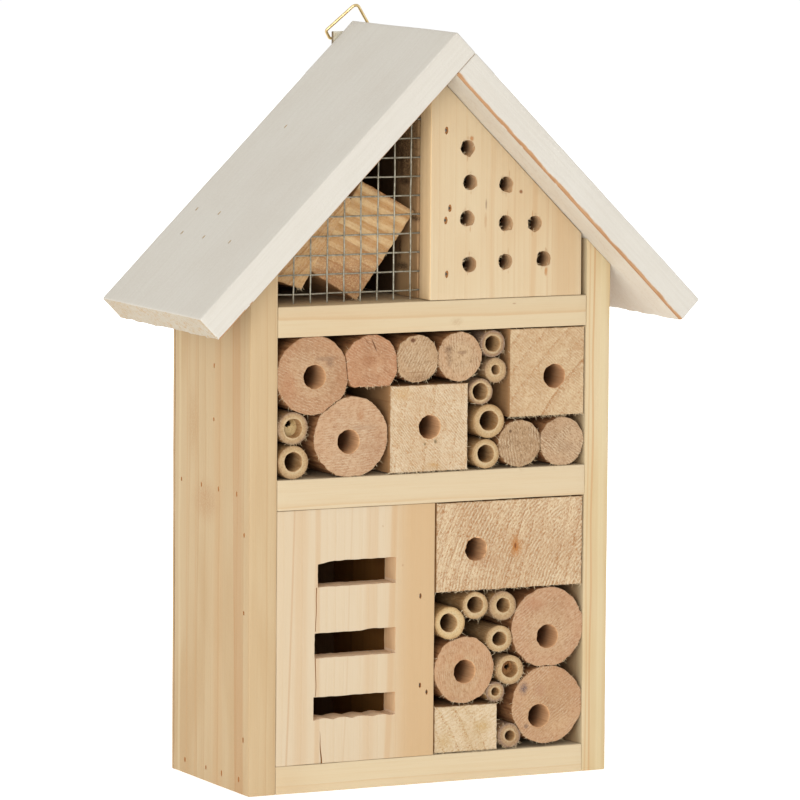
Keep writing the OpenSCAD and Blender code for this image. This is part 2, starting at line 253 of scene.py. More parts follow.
def wood(name, pale, dark, grain="Z", pith=(60, -90, 0), spacing=3.4, lines=0.55, sway=2.5, seed=0.0,
         warm=None, saw=None, specks=0.0, fibre=0.5, turn=0.0, roughness=0.78, bands=(), spots=(),
         patches=0.75,
         middle=(0, 0), sap=None, painted_depth_shade=None):
    """Pine with growth rings round a pith line, so that faces show long grain and ends show arcs.
    saw is (direction of the blade's hub from the middle, distance, spacing, strength) of saw arcs on an end,
    and a fifth number says how much they stray.
    sap is (distance from the pith, tint, amount) of the outer wood.
    The depth setting is (from, to, tint) of painted shade that darkens a hole or bay further in. bands and
    spots are as in Look."""
    look = Look(name, roughness)
    offset = (seed * 3.1, seed * 5.7, seed * 2.3)
    slow = look.noise(look.space(along(grain, 0.006, 0.035), offset, turn), 2.0, 0.5)
    centred = look.space(1, tuple(-p for p in pith), turn)
    radius = look.off_line(centred, grain)
    swayed = look.calc("MULTIPLY_ADD", slow, sway * 4, radius)
    phase = look.calc("DIVIDE", swayed, spacing)
    ring = look.calc("FRACT", phase)
    soft = look.grade(ring, 0.1, 0.9, 0.0, 0.4)
    sharp = look.grade(ring, 0.76, 0.92, 0.0, 0.6)
    late = look.calc("MULTIPLY", look.calc("ADD", soft, sharp), look.grade(ring, 0.92, 1.0, 1.0, 0.0))
    year = look.calc("MULTIPLY_ADD", phase, 0.43, seed)
    weight = look.add("TexNoise", {"noise_dimensions": "1D"}, {"W": year, "Scale": 1.0, "Detail": 1.0})
    late = look.calc("MULTIPLY", late, look.grade(weight, 0.32, 0.68, 0.15, 1.0))
    colour = look.mix(look.calc("MULTIPLY", late, lines), pale, dark)
    fibres = look.noise(look.space(along(grain, 0.05, 2.6), offset, turn), 3.0, 0.6)
    streak = look.grade(fibres, 0.42, 0.72)
    colour = look.mix(look.calc("MULTIPLY", streak, 0.28 * fibre), colour, dark)
    patch = look.noise(look.space(along(grain, 0.012, 0.045), offset[::-1], turn), 2.0)
    colour = look.mix(look.grade(patch, 0.45, 0.72, 0.0, patches), colour, warm or dark)
    normal = look.relief(fibres, 0.05 * fibre)
    normal = look.relief(late, 0.03, normal)
    if sap:
        reach, tint, amount = sap
        edge = look.calc("MULTIPLY_ADD", look.noise(look.space(0.12, offset)), 0.7 * reach, radius)
        colour = look.mix(look.grade(edge, 0.75 * reach, 1.3 * reach, 0.0, amount), colour, tint)
    if saw:
        angle, reach, pitch, strength, *broken = saw
        hub = (middle[0] + reach * math.cos(angle), 0, middle[1] + reach * math.sin(angle))
        arc = look.off_line(look.space(1, [-c for c in hub]), "Y")
        waver = look.noise(look.space(0.25, offset), 2.0)
        tear = look.noise(look.space(1.1, offset), 3.0, 0.7)
        arc = look.calc("MULTIPLY_ADD", tear, (broken or [1.5])[0] * pitch, arc)
        arc = look.calc("MULTIPLY_ADD", waver, 1.2, arc)
        wave = look.calc("SINE", look.calc("MULTIPLY", arc, 2 * math.pi / pitch))
        patchy = look.noise(look.space(0.16, offset[::-1]))
        patchy = look.grade(patchy, 0.4, 0.66, 0.35 if broken else 0.06, 0.95)
        groove = look.calc("MULTIPLY", look.grade(wave, -0.6, 0.9), patchy)
        ridge = look.calc("MULTIPLY", look.grade(wave, -0.1, -1.0), patchy)
        colour = look.mix(look.calc("MULTIPLY", groove, 0.34 * strength), colour, dark)
        colour = look.mix(look.calc("MULTIPLY", ridge, 0.28 * strength), colour, (240, 222, 190))
        normal = look.relief(look.calc("MULTIPLY", wave, patchy), 0.035 * strength, normal)
        mottle = look.noise(look.space(0.7, offset), 5.0, 0.7)
        colour = look.mix(look.grade(mottle, 0.5, 0.68, 0.0, 0.42), colour, dark)
        colour = look.mix(look.grade(mottle, 0.5, 0.32, 0.0, 0.42 if broken else 0.16), colour,
                          (238, 212, 176))
        flecks = look.noise(look.space((2.4, 1.0, 0.9), offset, angle), 4.0, 0.7)
        colour = look.mix(look.grade(flecks, 0.52, 0.66, 0.0, 0.75 * strength), colour, dark)
        colour = look.mix(look.grade(flecks, 0.47, 0.32, 0.0, 0.35 * strength), colour, (240, 222, 190))
        normal = look.relief(flecks, 0.1 * strength, normal)
    if specks:
        grains = look.noise(look.space(1.6, offset[::-1]), 3.0, 0.65)
        zone = look.grade(late, 0.05, 0.5, 0.3, 1.0)
        pits = look.calc("MULTIPLY", look.grade(grains, 0.54, 0.66), zone)
        crumbs = look.calc("MULTIPLY", look.grade(grains, 0.46, 0.34), zone)
        colour = look.mix(look.calc("MULTIPLY", pits, specks), colour, (180, 124, 74))
        colour = look.mix(look.calc("MULTIPLY", crumbs, 0.7 * specks), colour, (244, 226, 192))
        normal = look.relief(grains, 0.2 * specks, normal)
    # Painted shade, darker further into a hole or bay
    if painted_depth_shade:
        colour = look.shade_deeper(colour, *painted_depth_shade)
    for centre, half, tint, amount, lean in bands:
        colour = look.band(colour, grain, centre, half, tint, amount, lean)
    for centre, radii, tint, amount, *turned in spots:
        colour = look.spot(colour, centre, radii, tint, amount, *turned)
    return look.finish(colour, normal, look.grade(fibres, 0.3, 0.8, roughness - 0.06, roughness + 0.1))


def bark(name, pale, dark, seed=0.0):
    """Thin bark: streaks and ridges along the branch."""
    look = Look(name, 0.85, 0.12)
    ridges = look.noise(look.space((0.8, 0.08, 0.8), (seed, seed * 2, seed * 3)), 4.0, 0.6)
    patch = look.noise(look.space((0.12, 0.05, 0.12), (seed * 4, seed, 0)), 2.0)
    colour = look.mix(look.grade(ridges, 0.35, 0.65), pale, dark)
    colour = look.mix(look.grade(patch, 0.45, 0.65, 0.0, 0.6), colour, dark)
    return look.finish(colour, look.relief(ridges, 0.25), look.grade(ridges, 0.3, 0.7, 0.75, 0.92))


def paint(name, colour, faded, turn, bare=0.0, wood_tone=(214, 180, 132), worn=(0.0, 0.0)):
    """Matt paint with brush streaks along a board turned about Y, and wood that shows where it is thin.
    worn is the height of the board's lower face and how far up its edge the paint is rubbed off."""
    look = Look(name, 0.62, 0.25)
    streaks = look.noise(look.space(along("X", 0.05, 1.5), (3, 1, 2), turn), 4.0, 0.65)
    cloud = look.noise(look.space(0.03), 3.0)
    grit = look.noise(look.space(1.1), 3.0, 0.6)
    shade = look.mix(look.grade(streaks, 0.36, 0.7, 0.0, 0.55), colour, faded)
    shade = look.mix(look.grade(cloud, 0.4, 0.7, 0.0, 0.4), shade, faded)
    if bare:
        rings = look.noise(look.space(along("X", 0.1, 0.35), (7, 7, 7), turn), 2.0, 0.5, 1.2)
        mask = look.calc("MULTIPLY", look.grade(rings, 0.42, 0.66), look.grade(grit, 0.4, 0.62))
        shade = look.mix(look.calc("MULTIPLY", mask, bare), shade, wood_tone)
    if worn[1]:
        base, reach = worn
        waver = look.noise(look.space(along("X", 0.12, 0.3), (9, 2, 4), turn), 3.0, 0.6)
        height = look.part(look.space(1, (0, 0, -base), turn), 2)
        height = look.calc("MULTIPLY_ADD", waver, -1.6 * reach, height)
        shade = look.mix(look.grade(height, 0.45 * reach, -0.15 * reach), shade, (204, 156, 108))
        dark_line = look.grade(height, 0.1 * reach, -0.5 * reach)
        dark_line = look.calc("MULTIPLY", dark_line, look.grade(streaks, 0.4, 0.6))
        shade = look.mix(look.calc("MULTIPLY", dark_line, 0.6), shade, (178, 124, 80))
    normal = look.relief(streaks, 0.09)
    normal = look.relief(grit, 0.08, normal)
    return look.finish(shade, normal, look.grade(grit, 0.3, 0.7, 0.52, 0.72))


def cane(name, body, skin, seed=0.0, centre=None, reach=0.0, bore=0.0, painted_depth_shade=None):
    """Cane: a skin that is greyer by patches, with dark pores. A sawn end also has a skin ring and a pale
    inner edge."""
    look = Look(name, 0.6, 0.3)
    pores = look.noise(look.space((1.9, 0.3, 1.9), (seed, seed, seed)), 3.0, 0.7)
    patch = look.noise(look.space((0.3, 0.06, 0.3), (seed * 2, 0, seed)), 2.0)
    if centre is None:
        colour = look.mix(look.grade(patch, 0.38, 0.66), body, skin)
    else:
        away = look.off_line(look.space(1, (-centre[0], 0, -centre[1])), "Y")
        away = look.calc("MULTIPLY_ADD", patch, 1.2, look.calc("SUBTRACT", away, 0.6))
        colour = look.mix(look.grade(away, bore + 0.5, reach - 0.2, 0.0, 0.35), body, skin)
        colour = look.mix(look.grade(away, reach - 0.95, reach - 0.25, 0.0, 0.85), colour, skin)
        colour = look.mix(look.grade(away, bore + 0.75, bore + 0.1, 0.0, 0.5), colour, (226, 202, 160))
    colour = look.mix(look.grade(pores, 0.5, 0.66, 0.0, 0.4), colour, (128, 96, 60))
    colour = look.mix(look.grade(pores, 0.46, 0.34, 0.0, 0.3), colour, (228, 206, 164))
    # Painted shade, darker further into the bore
    if painted_depth_shade:
        colour = look.shade_deeper(colour, *painted_depth_shade)
    return look.finish(colour, look.relief(pores, 0.1), look.grade(pores, 0.3, 0.7, 0.5, 0.75))


def metal(name, colour, stain, roughness, shine=0.9):
    """Wire or sheet with fine scratches and dull spots."""
    look = Look(name, roughness, 0.5, shine)
    spots = look.noise(look.space(0.7), 3.0, 0.6)
    fine = look.noise(look.space(4), 2.0)
    shade = look.mix(look.grade(spots, 0.4, 0.65, 0.0, 0.7), colour, stain)
    return look.finish(shade, look.relief(fine, 0.02),
                       look.grade(spots, 0.3, 0.7, roughness - 0.08, roughness + 0.15))


# ---------------------------------------------------------------- mesh building


class Shape:
    """Points in millimetres and faces with a material number each."""

    def __init__(self):
        self.points, self.faces, self.kinds = [], [], []

    def loop(self, points):
        """Adds points, and returns their numbers."""
        first = len(self.points)
        self.points.extend(Vector(p) for p in points)
        return list(range(first, len(self.points)))

    def bridge(self, a, b, kind=0, closed=True):
        n = len(a)
        for i in range(n if closed else n - 1):
            j = (i + 1) % n
            self.faces.append((a[i], a[j], b[j], b[i]))
            self.kinds.append(kind)

    def fan(self, ring, tip, kind=0):
        (centre,) = self.loop([tip])
        for i in range(len(ring)):
            self.faces.append((ring[i], ring[(i + 1) % len(ring)], centre))
            self.kinds.append(kind)

    def middle(self, ring):
        return sum((self.points[i] for i in ring), Vector()) / len(ring)

    def skin(self, loops, kind=0):
        """Closed body through a row of loops."""
        for a, b in zip(loops, loops[1:]):
            self.bridge(a, b, kind)
        for ring in (loops[0], loops[-1]):
            self.fan(ring, self.middle(ring), kind)

    def tube(self, path, radius, sides, kind=0):
        """Round bar along a path; radius is a number or a function of the place along it, 0 to 1."""
        loops, side = [], None
        for i, point in enumerate(path):
            ahead = (path[min(i + 1, len(path) - 1)] - path[max(i - 1, 0)]).normalized()
            if side is None:
                side = ahead.orthogonal().normalized()
            side = (side - ahead * side.dot(ahead)).normalized()
            other = ahead.cross(side)
            r = radius(i / (len(path) - 1)) if callable(radius) else radius
            loops.append(self.loop([point + r * (math.cos(t) * side + math.sin(t) * other)
                                    for t in np.linspace(0, 2 * math.pi, sides, endpoint=False)]))
        self.skin(loops, kind)

    def sliver(self, root, aim, length, width, kind, bend=0.5):
        """Torn fibre: a thin curved spike."""
        aim = Vector(aim).normalized()
        curl = Vector([dice.uniform(-1, 1) for _ in range(3)]) * bend * length
        path = [Vector(root) + aim * length * t + curl * t * t for t in (-0.15, 0.35, 0.7, 1.0)]
        self.tube(path, lambda t: width / 2 * (1.0 - 0.85 * t), 3, kind)

    def mesh(self, name):
        data = bpy.data.meshes.new(name)
        data.from_pydata([p * MM for p in self.points], [], self.faces)
        data.polygons.foreach_set("material_index", self.kinds)
        work = bmesh.new()
        work.from_mesh(data)
        bmesh.ops.recalc_face_normals(work, faces=work.faces)
        work.to_mesh(data)
        work.free()
        return data

    def build(self, name, looks, sharp=35):
        return add_object(name, self.mesh(name), looks, sharp)


def add_object(name, data, looks, sharp=35):
    for look in looks:
        data.materials.append(look)
    data.polygons.foreach_set("use_smooth", [True] * len(data.polygons))
    data.set_sharp_from_angle(angle=math.radians(sharp))
    item = bpy.data.objects.new(name, data)
    bpy.context.scene.collection.objects.link(item)
    return item


def belongs(item, nodes, body="house"):
    """Puts a piece on a body, in place of these CAD nodes, if any."""
    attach(item, body)
    if nodes:
        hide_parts(*nodes)


def jitter(point, size, seed=0.0):
    """Smooth pseudo-random value from -1 to 1 for a point in millimetres."""
    return noise.noise(Vector(point) / size + Vector((seed * 7.3, seed * 3.1, seed * 5.9)))


def angles(count):
    return [2 * math.pi * k / count for k in range(count)]


def wobble(angle, spread, size, seed=0.0):
    """Smooth pseudo-random value from -1 to 1 that closes on itself round a circle."""
    return jitter((math.cos(angle) * spread, 0, math.sin(angle) * spread), size, seed)


def rectangle(low, high, side_gap=0.0, level_gap=0.0):
    """Corners in x and z of a node's box, a little inside it if gaps are given."""
    left, right = low.x + side_gap, high.x - side_gap
    floor, ceiling = low.z + level_gap, high.z - level_gap
    return [(left, floor), (right, floor), (right, ceiling), (left, ceiling)]


def cut(item, cutter):
    """Takes the cutter's volume out of an object; the cut faces keep the cutter's materials."""
    tool = cutter.build("cutter", [slot.material for slot in item.material_slots])
    modifier = item.modifiers.new("cut", "BOOLEAN")
    modifier.operation, modifier.solver, modifier.object = "DIFFERENCE", "EXACT", tool
    modifier.material_mode = "TRANSFER"
    bpy.context.view_layer.update()
    data = bpy.data.meshes.new_from_object(item.evaluated_get(bpy.context.evaluated_depsgraph_get()))
    item.modifiers.clear()
    item.data = data
    data.set_sharp_from_angle(angle=math.radians(35))
    bpy.data.objects.remove(tool)


def pocket(cutter, at, out, up, wide, tall, depth, kind, points=12):
    """Irregular little hole in a face: at on the face, out of it, up along it."""
    out, up = Vector(out).normalized(), Vector(up).normalized()
    side = up.cross(out)
    loops = []
    for level, size in ((0.7, 1.0), (0.0, 1.0), (-depth * 0.7, 0.92), (-depth, 0.6)):
        ring = []
        for t in angles(points):
            r = size * (1 + 0.16 * jitter((at[0] + 3 * math.cos(t), at[1], at[2] + 3 * math.sin(t)), 1.7))
            sideways = side * (wide / 2 * r * math.cos(t))
            ring.append(at + out * level + sideways + up * (tall / 2 * r * math.sin(t)))
        loops.append(cutter.loop(ring))
    cutter.skin(loops, kind)


def board(name, outline, front, rear, looks, arris=0.45, cell=3.0, wave=0.1, seed=0.0, kinds=None,
          shape=None):
    """Sawn board: an outline of (x, z) corners between two depths, with worn edges and uneven faces."""
    work = bmesh.new()
    loops = [[work.verts.new((x, y, z)) for x, z in outline] for y in (front, rear)]
    work.faces.new(loops[0])
    work.faces.new(loops[1][::-1])
    n = len(outline)
    for i in range(n):
        work.faces.new((loops[0][i], loops[1][i], loops[1][(i + 1) % n], loops[0][(i + 1) % n]))
    bmesh.ops.recalc_face_normals(work, faces=work.faces)
    bmesh.ops.bevel(work, geom=work.edges[:], offset=arris, segments=3, profile=0.5, affect="EDGES")
    for axis in range(3):
        values = [v.co[axis] for v in work.verts]
        low, high = min(values) + arris, max(values) - arris
        steps = max(1, round((high - low) / cell))
        normal = Vector([float(axis == k) for k in range(3)])
        for k in range(1, steps):
            at = normal * (low + (high - low) * k / steps)
            bmesh.ops.bisect_plane(work, geom=work.verts[:] + work.edges[:] + work.faces[:], plane_co=at,
                                   plane_no=normal)
    for vert in work.verts:
        p = vert.co.copy()
        shift = Vector([jitter(p, 22, seed + k) for k in range(3)]) * wave
        shift += Vector([jitter(p, 4, seed + 3 + k) for k in range(3)]) * wave * 0.5
        vert.co += shape(p, shift) if shape else shift
    work.normal_update()
    if kinds:
        for face in work.faces:
            face.material_index = kinds(face.calc_center_median(), face.normal)
    for vert in work.verts:
        vert.co *= MM
    data = bpy.data.meshes.new(name)
    work.to_mesh(data)
    work.free()
    return add_object(name, data, looks, 35)


def plug(node, outline, bore, front, rear, looks, edge, relief, rings, seed, lining, fuzz, mouth=0.0):
    """Piece of filling that lies along Y. outline is a loop of (x, z), and bore is (x, z, radius of an angle)
    or None. edge is how far the rim is worn, relief how uneven the end is, and lining and mouth how uneven
    the sides and the bore are.
    Materials: 0 the sawn end, 1 the sides, 2 the bore, 3 loose fibres."""
    shape = Shape()
    n = len(outline)
    edge_points = [Vector((x, 0, z)) for x, z in outline]
    if bore:
        hub = Vector((bore[0], 0, bore[1]))
    else:
        hub = sum(edge_points, Vector()) / n
    bearings = [math.atan2(p.z - hub.z, p.x - hub.x) for p in edge_points]
    reach = [(p - hub).length for p in edge_points]

    def hull(inset, y, rough=0.0):
        ring = []
        for a, r, p in zip(bearings, reach, edge_points):
            r = r - inset + rough * jitter((p.x, y * 0.12, p.z), 1.6, seed)
            ring.append((hub.x + r * math.cos(a), y, hub.z + r * math.sin(a)))
        return shape.loop(ring)

    def lift(x, z):
        saw = jitter((x, 0, z), 5, seed) + 0.5 * jitter((x, 0, z), 1.3, seed + 1)
        return front + relief * (0.6 + saw)

    previous = hull(0, rear)
    shape.fan(previous, Vector((hub.x, rear, hub.z)), 0)
    for y in np.linspace(rear, front + 2.5, 6)[1:]:
        ring = hull(0, y, lining)
        shape.bridge(previous, ring, 1)
        previous = ring
    for k, t in enumerate((0.0, 0.5, 1.0)):
        inset, back = edge * (1 - math.cos(t * math.pi / 2)), edge * (1 - math.sin(t * math.pi / 2))
        ring = hull(inset, front + back + 0.05, lining * 1.5)
        shape.bridge(previous, ring, 1 if k == 0 else 0)
        previous = ring
    inner = []
    for a in bearings:
        r = bore[2](a) if bore else 0.3
        inner.append(Vector((hub.x + r * math.cos(a), 0, hub.z + r * math.sin(a))))
    start = [shape.points[i] for i in previous]
    for k in range(1, rings + 1):
        t = k / rings
        ring = []
        for p, q in zip(start, inner):
            x, z = p.x + (q.x - p.x) * t, p.z + (q.z - p.z) * t
            ring.append((x, lift(x, z), z))
        ring = shape.loop(ring)
        shape.bridge(previous, ring, 0)
        previous = ring
    if bore:
        steps = ((0.25, -0.12), (1.0, -0.16), (2.5, -0.15), (6, -0.1), (14, 0), (26, 0.05),
                 (BORE_DEPTH, 0.1))
        for y, grow in steps:
            ring = []
            for a in bearings:
                torn = mouth * jitter((math.cos(a) * 4, y * 0.4, math.sin(a) * 4), 1.2, seed)
                r = bore[2](a) + grow + torn * (1 if y < 8 else 0.4)
                ring.append((hub.x + r * math.cos(a), front + y, hub.z + r * math.sin(a)))
            ring = shape.loop(ring)
            shape.bridge(previous, ring, 2)
            previous = ring
        shape.fan(previous, Vector((hub.x, front + BORE_DEPTH + 1.0, hub.z)), 2)
    else:
        shape.fan(previous, Vector((hub.x, lift(hub.x, hub.z), hub.z)), 0)
    fuzz(shape, edge_points, hub)
    return shape.build(node.replace("_", "-"), looks, 40)


# ---------------------------------------------------------------- the materials of this house

ORANGE = (198, 142, 88)
AMBER = (214, 166, 112)

side_look = wood(
    "left side pine", (219, 191, 149), (200, 160, 110), "Z", (-190, 60, 0), 2.5, 0.5, 1.0, 1.3,
    (208, 174, 128),
    bands=[((1, -23.2), 4.6, ORANGE, 0.32, 0.02), ((1, -20.2), 0.6, ORANGE, 0.3, 0.02),
           ((1, -6), 5.0, AMBER, 0.25, 0.0), ((1, 12), 0.5, AMBER, 0.3, 0.0),
           ((1, 19), 0.6, AMBER, 0.25, 0.0),
           ((1, 25), 1.2, (232, 210, 168), 0.5, 0.0)],
    spots=[((-66, 4, 95), (8, 9, 7), (196, 150, 104), 0.35),
           ((-66, 14, 120), (6, 5, 12), (200, 158, 110), 0.3)])
# Deeper than the front the board turns warmer and darker: painted shade for its face inside the bays
right_look = wood(
    "right side pine", (233, 211, 170), (216, 180, 128), "Z", (150, -70, 0), 2.6, 0.45, 0.8, 4.1,
    (222, 192, 140),
    bands=[(60.8, 0.5, AMBER, 0.6, 0.0), (59.2, 0.4, AMBER, 0.4, 0.0),
           (64.5, 1.6, (236, 218, 176), 0.5, 0.0)],
    painted_depth_shade=(-30, -22, (220, 178, 128)))
bottom_look = wood("bottom pine", (235, 214, 176), (220, 182, 134), "X", (0, 10, -60), 2.4, 0.5, 0.9, 2.2,
                   (222, 190, 146))
middle_look = wood("middle shelf pine", (231, 209, 172), (218, 180, 132), "X", (0, -90, 130), 2.6, 0.55,
                   0.9, 5.5, (224, 192, 146))
top_look = wood("top shelf pine", (230, 208, 170), (218, 180, 132), "X", (0, -100, 190), 2.8, 0.6, 1.0, 7.4,
                (222, 188, 144),
                spots=[((9, -30, 155.5), (2.4, 2, 1.6), (190, 156, 116), 0.25),
                       ((30.5, -30, 160.8), (0.8, 2, 0.3), (160, 114, 74), 0.5)])
# Thin orange splits above and below the drilled holes
HOLE_STREAKS = []
for a, b in GABLE_HOLES:
    for way in (-1, 1):
        at = ((a.x + b.x) / 2 + dice.uniform(-1.2, 1.2), a.y,
              (a.z + b.z) / 2 + way * dice.uniform(2.9, 3.6))
        HOLE_STREAKS.append((at, (0.22, 3, dice.uniform(0.6, 1.6)), (190, 132, 74),
                             dice.uniform(0.25, 0.7)))
gable_look = wood(
    "gable pine", (233, 211, 173), (216, 174, 128), "Z", (200, -95, 0), 1.9, 0.3, 1.2, 3.7, (224, 190, 146),
    bands=[(30.6, 0.4, ORANGE, 0.15, 0.0), (34.2, 1.4, AMBER, 0.3, 0.02), (22, 1.6, AMBER, 0.2, 0.0),
           (50, 7, (214, 174, 126), 0.5, 0.0), (43, 0.4, ORANGE, 0.15, 0.0)],
    spots=[((32.6, -30, 198.3), (0.8, 2, 0.8), (150, 96, 56), 0.9),
           ((19.6, -30, 194.4), (0.4, 2, 2.0), (126, 98, 78), 0.55),
           *HOLE_STREAKS,
           ((19.4, -30, 189), (0.6, 2, 3.5), (200, 156, 110), 0.5),
           ((42.4, -30, 171.2), (0.7, 2, 1.9), (196, 134, 72), 0.75),
           ((14, -30, 216.6), (0.9, 2, 1.0), (196, 128, 66), 0.8)])
# The gable board's left face is paler than its front: painted light on a face that stands in shade
gable_edge_lit_look = wood("gable edge pine with painted light", (262, 228, 178), (238, 196, 144), "Z", (30, 40, 0), 3.0, 0.4, 1.2,
                       6.6, (236, 200, 152))
slotted_look = wood(
    "slotted panel pine", (231, 210, 178), (220, 184, 138), "Z", (-160, -70, 0), 3.1, 0.2, 1.2, 9.1,
    (228, 200, 160), patches=0.3,
    bands=[(-53.6, 0.5, ORANGE, 0.3, 0.03), (-32.5, 0.4, ORANGE, 0.15, 0.035),
           (-16.2, 1.6, AMBER, 0.35, 0.03), (-23.5, 3.2, AMBER, 0.2, 0.02),
           (0, 19.0, (219, 179, 128), 0.75, 0.0), (-42, 1.4, AMBER, 0.3, 0.0), (-48, 3.4, AMBER, 0.2, 0.0)],
    spots=[((-10.5, -30, 74.5), (0.5, 1, 0.6), (160, 104, 60), 0.7),
           ((-18, -30, 88), (0.5, 1, 0.5), (170, 116, 72), 0.6)])
dent_look = wood("painted nail mark", (206, 178, 130), (176, 140, 92), "Z", (0, -60, 0), 2.0, 0.4, 2.0, 7.9,
                 (190, 158, 108))
# The slots' walls and floors are paler than the panel's front: painted light in their shade
slot_wall_lit_look = wood("slot wall pine with painted light", (268, 226, 176), (230, 182, 132), "Z", (0, -60, 0), 2.4, 0.3, 2.0, 2.1,
                 (244, 196, 146), fibre=1.4)
slot_floor_lit_look = wood("slot floor pine with painted light", (270, 236, 196), (232, 190, 148), "Z", (0, -60, 0), 2.4, 0.3, 2.0, 2.9,
                (236, 198, 158), fibre=1.4)
# The drilled holes' walls turn dark brown further in: painted shade
hole_look = wood("drilled pine", (250, 208, 158), (204, 154, 106), "Z", (0, -60, 0), 2.4, 0.4, 2.0, 6.9,
                 (204, 150, 100), fibre=1.6, painted_depth_shade=(-29.5, -23.5, (116, 80, 50)))
nick_look = wood("nail mark pine", (214, 152, 92), (164, 108, 60), "Z", (0, -60, 0), 2.0, 0.4, 2.0, 8.9,
                 (180, 120, 68))
# The dark spots are painted shadows of the mesh wires and offcuts on the divider's face, and its rear part
# turns dark as painted shade
gable_divider_shade_look = wood(
    "gable divider pine with painted shade", (206, 166, 118), (150, 102, 62), "Z", (60, 30, 0), 3.6, 0.7, 1.6, 5.1, (180, 134, 88),
    spots=[((-1.6, -12, 201.5), (2, 4.5, 1.6), (64, 40, 22), 0.8),
           ((-1.6, -9, 208), (2, 1.4, 6.5), (90, 60, 36), 0.7),
           ((-1.6, -20, 189.5), (2, 3.2, 1.2), (60, 38, 24), 0.9),
           ((-1.6, -8, 178.6), (2, 1.4, 4.5), (80, 52, 30), 0.8),
           ((-1.6, -10, 172.8), (2, 5.5, 1.5), (48, 30, 18), 1.0),
           ((-1, -10, 214), (8, 14, 20), (70, 46, 26), 0.5)],
    painted_depth_shade=(-9, -3, (62, 42, 26)))
# Dark brown that paints the deep shade behind the slots; the wood itself is pale pine
slot_divider_shade_look = wood("slot divider pine darkened as painted shade", (160, 106, 48), (118, 68, 26), "Z", (60, 30, 0), 3.6, 0.7,
                         1.6, 7.3, (140, 86, 36))
fuzz_look = wood("loose fibre", (236, 214, 176), (214, 178, 130), "Y", (0, 0, 0), 2.0, 0.2, 1.0, 1.1)
ply_look = wood("plywood", (214, 180, 134), (186, 142, 96), "Z", (20, -400, 0), 9.0, 0.5, 9.0, 2.4,
                (202, 160, 114))
# The back panel's inner face is darkened as painted shade of the deep bays, with a darker patch of painted
# shade behind the mesh
back_inside_shade_look = wood("plywood inside darkened as painted shade", (128, 94, 62), (84, 58, 36), "Z", (20, -400, 0), 9.0, 0.5, 9.0, 5.4,
                (104, 74, 48), spots=[((-28, 29, 188), (34, 12, 32), (56, 38, 22), 0.58)])


# ---------------------------------------------------------------- boards of the carcass


def under_roof(x):
    return PEAK[1] - abs(x - PEAK[0]) * math.tan(SLOPE)


def roofed(low, high, gap=0.0):
    """Outline of a board that fills its share of the gable."""
    return [(low.x, low.z + gap), (high.x, low.z + gap), (high.x, under_roof(high.x) - gap),
            (PEAK[0], PEAK[1] - gap), (low.x, under_roof(low.x) - gap)]


def nail_marks(item, node, outward, wide, tall, depth):
    """Uneven pockets over the brads of an upright board, in its second material."""
    marks = Shape()
    for head, into, _ in rods(node, outward):
        size = dice.uniform(0.85, 1.15)
        pocket(marks, head, -into, (0, 0, 1), wide * size, tall * dice.uniform(0.8, 1.25), depth, 1)
    cut(item, marks)


for side, outward, look, tall, depth, seed in (("left", -1, side_look, 1.7, 0.5, 1.0),
                                               ("right", 1, right_look, 1.8, 0.7, 2.0)):
    low, high = place(side + "_side")
    outline = [(low.x, low.z), (high.x, low.z), (high.x, under_roof(high.x)), (low.x, under_roof(low.x))]
    item = board(side + "-side-board", outline, low.y, high.y, [look, nick_look], 0.38, 3.2, 0.09, seed)
    nail_marks(item, "brads_" + side, (outward, 0, 0), 1.1, tall, depth)
    belongs(item, [side + "_side"])

for name, look, seed in (("bottom-board", bottom_look, 3.0), ("middle-shelf", middle_look, 4.0),
                         ("top-shelf", top_look, 5.0)):
    node = name.replace("-", "_")
    low, high = place(node)
    item = board(name, rectangle(low, high, 0.05), low.y, high.y, [look], 0.28, 3.2, 0.1, seed)
    belongs(item, [node])

low, high = place("back_panel")
item = board("back-panel", roofed(low, high), low.y, high.y, [ply_look, nick_look, back_inside_shade_look], 0.2, 5.0,
             0.06, 6.0,
             lambda centre, normal: 2 if normal.y < -0.5 else 0)
nail_marks(item, "brads_back", (0, 1, 0), 1.2, 1.6, 0.6)
belongs(item, ["back_panel"])

low, high = place("slot_divider")
item = board("slot-divider", rectangle(low, high), low.y, high.y, [slot_divider_shade_look], 0.3, 4.0, 0.08, 7.0)
belongs(item, ["slot_divider"])
low, high = place("gable_divider")
item = board("gable-divider", roofed(low, high), low.y, high.y, [gable_divider_shade_look], 0.3, 4.0, 0.1, 8.0)
belongs(item, ["gable_divider"])


# ---------------------------------------------------------------- drilled gable board

# Gap round the two front boards, and the drill's radius
FRONT_GAP = 0.08
GABLE_HOLE_R = 2.6

low, high = place("drilled_gable")
gable = board("drilled-gable", roofed(low, high, FRONT_GAP), low.y, high.y,
              [gable_look, hole_look, nick_look, gable_edge_lit_look], 0.5, 2.6, 0.08, 9.0,
              lambda centre, normal: 3 if normal.x < -0.7 else 0)
marks = Shape()
for a, b in GABLE_HOLES:
    centre = (a + b) / 2
    loops = []
    for y in (low.y - 1, low.y - 0.05, low.y + 0.35, low.y + 0.9, low.y + 2.0, low.y + 4.0, high.y + 1):
        ring = []
        for t in angles(44):
            at = (centre.x + 2.4 * math.cos(t), y * 0.5, centre.z + 2.4 * math.sin(t))
            where = max(0.25, math.cos(t - math.pi), 1.3 * math.cos(t + 0.9))
            tear = max(0.0, jitter(at, 1.9, 2.0)) * where
            nibble = jitter(at, 0.6, 4.0)
            deep = y > low.y + 1
            r = GABLE_HOLE_R + (0.1 * tear + 0.03 * nibble if deep else 1.1 * tear + 0.12 * nibble)
            ring.append((centre.x + r * math.cos(t), y, centre.z + r * math.sin(t)))
        loops.append(marks.loop(ring))
    marks.skin(loops, 1)
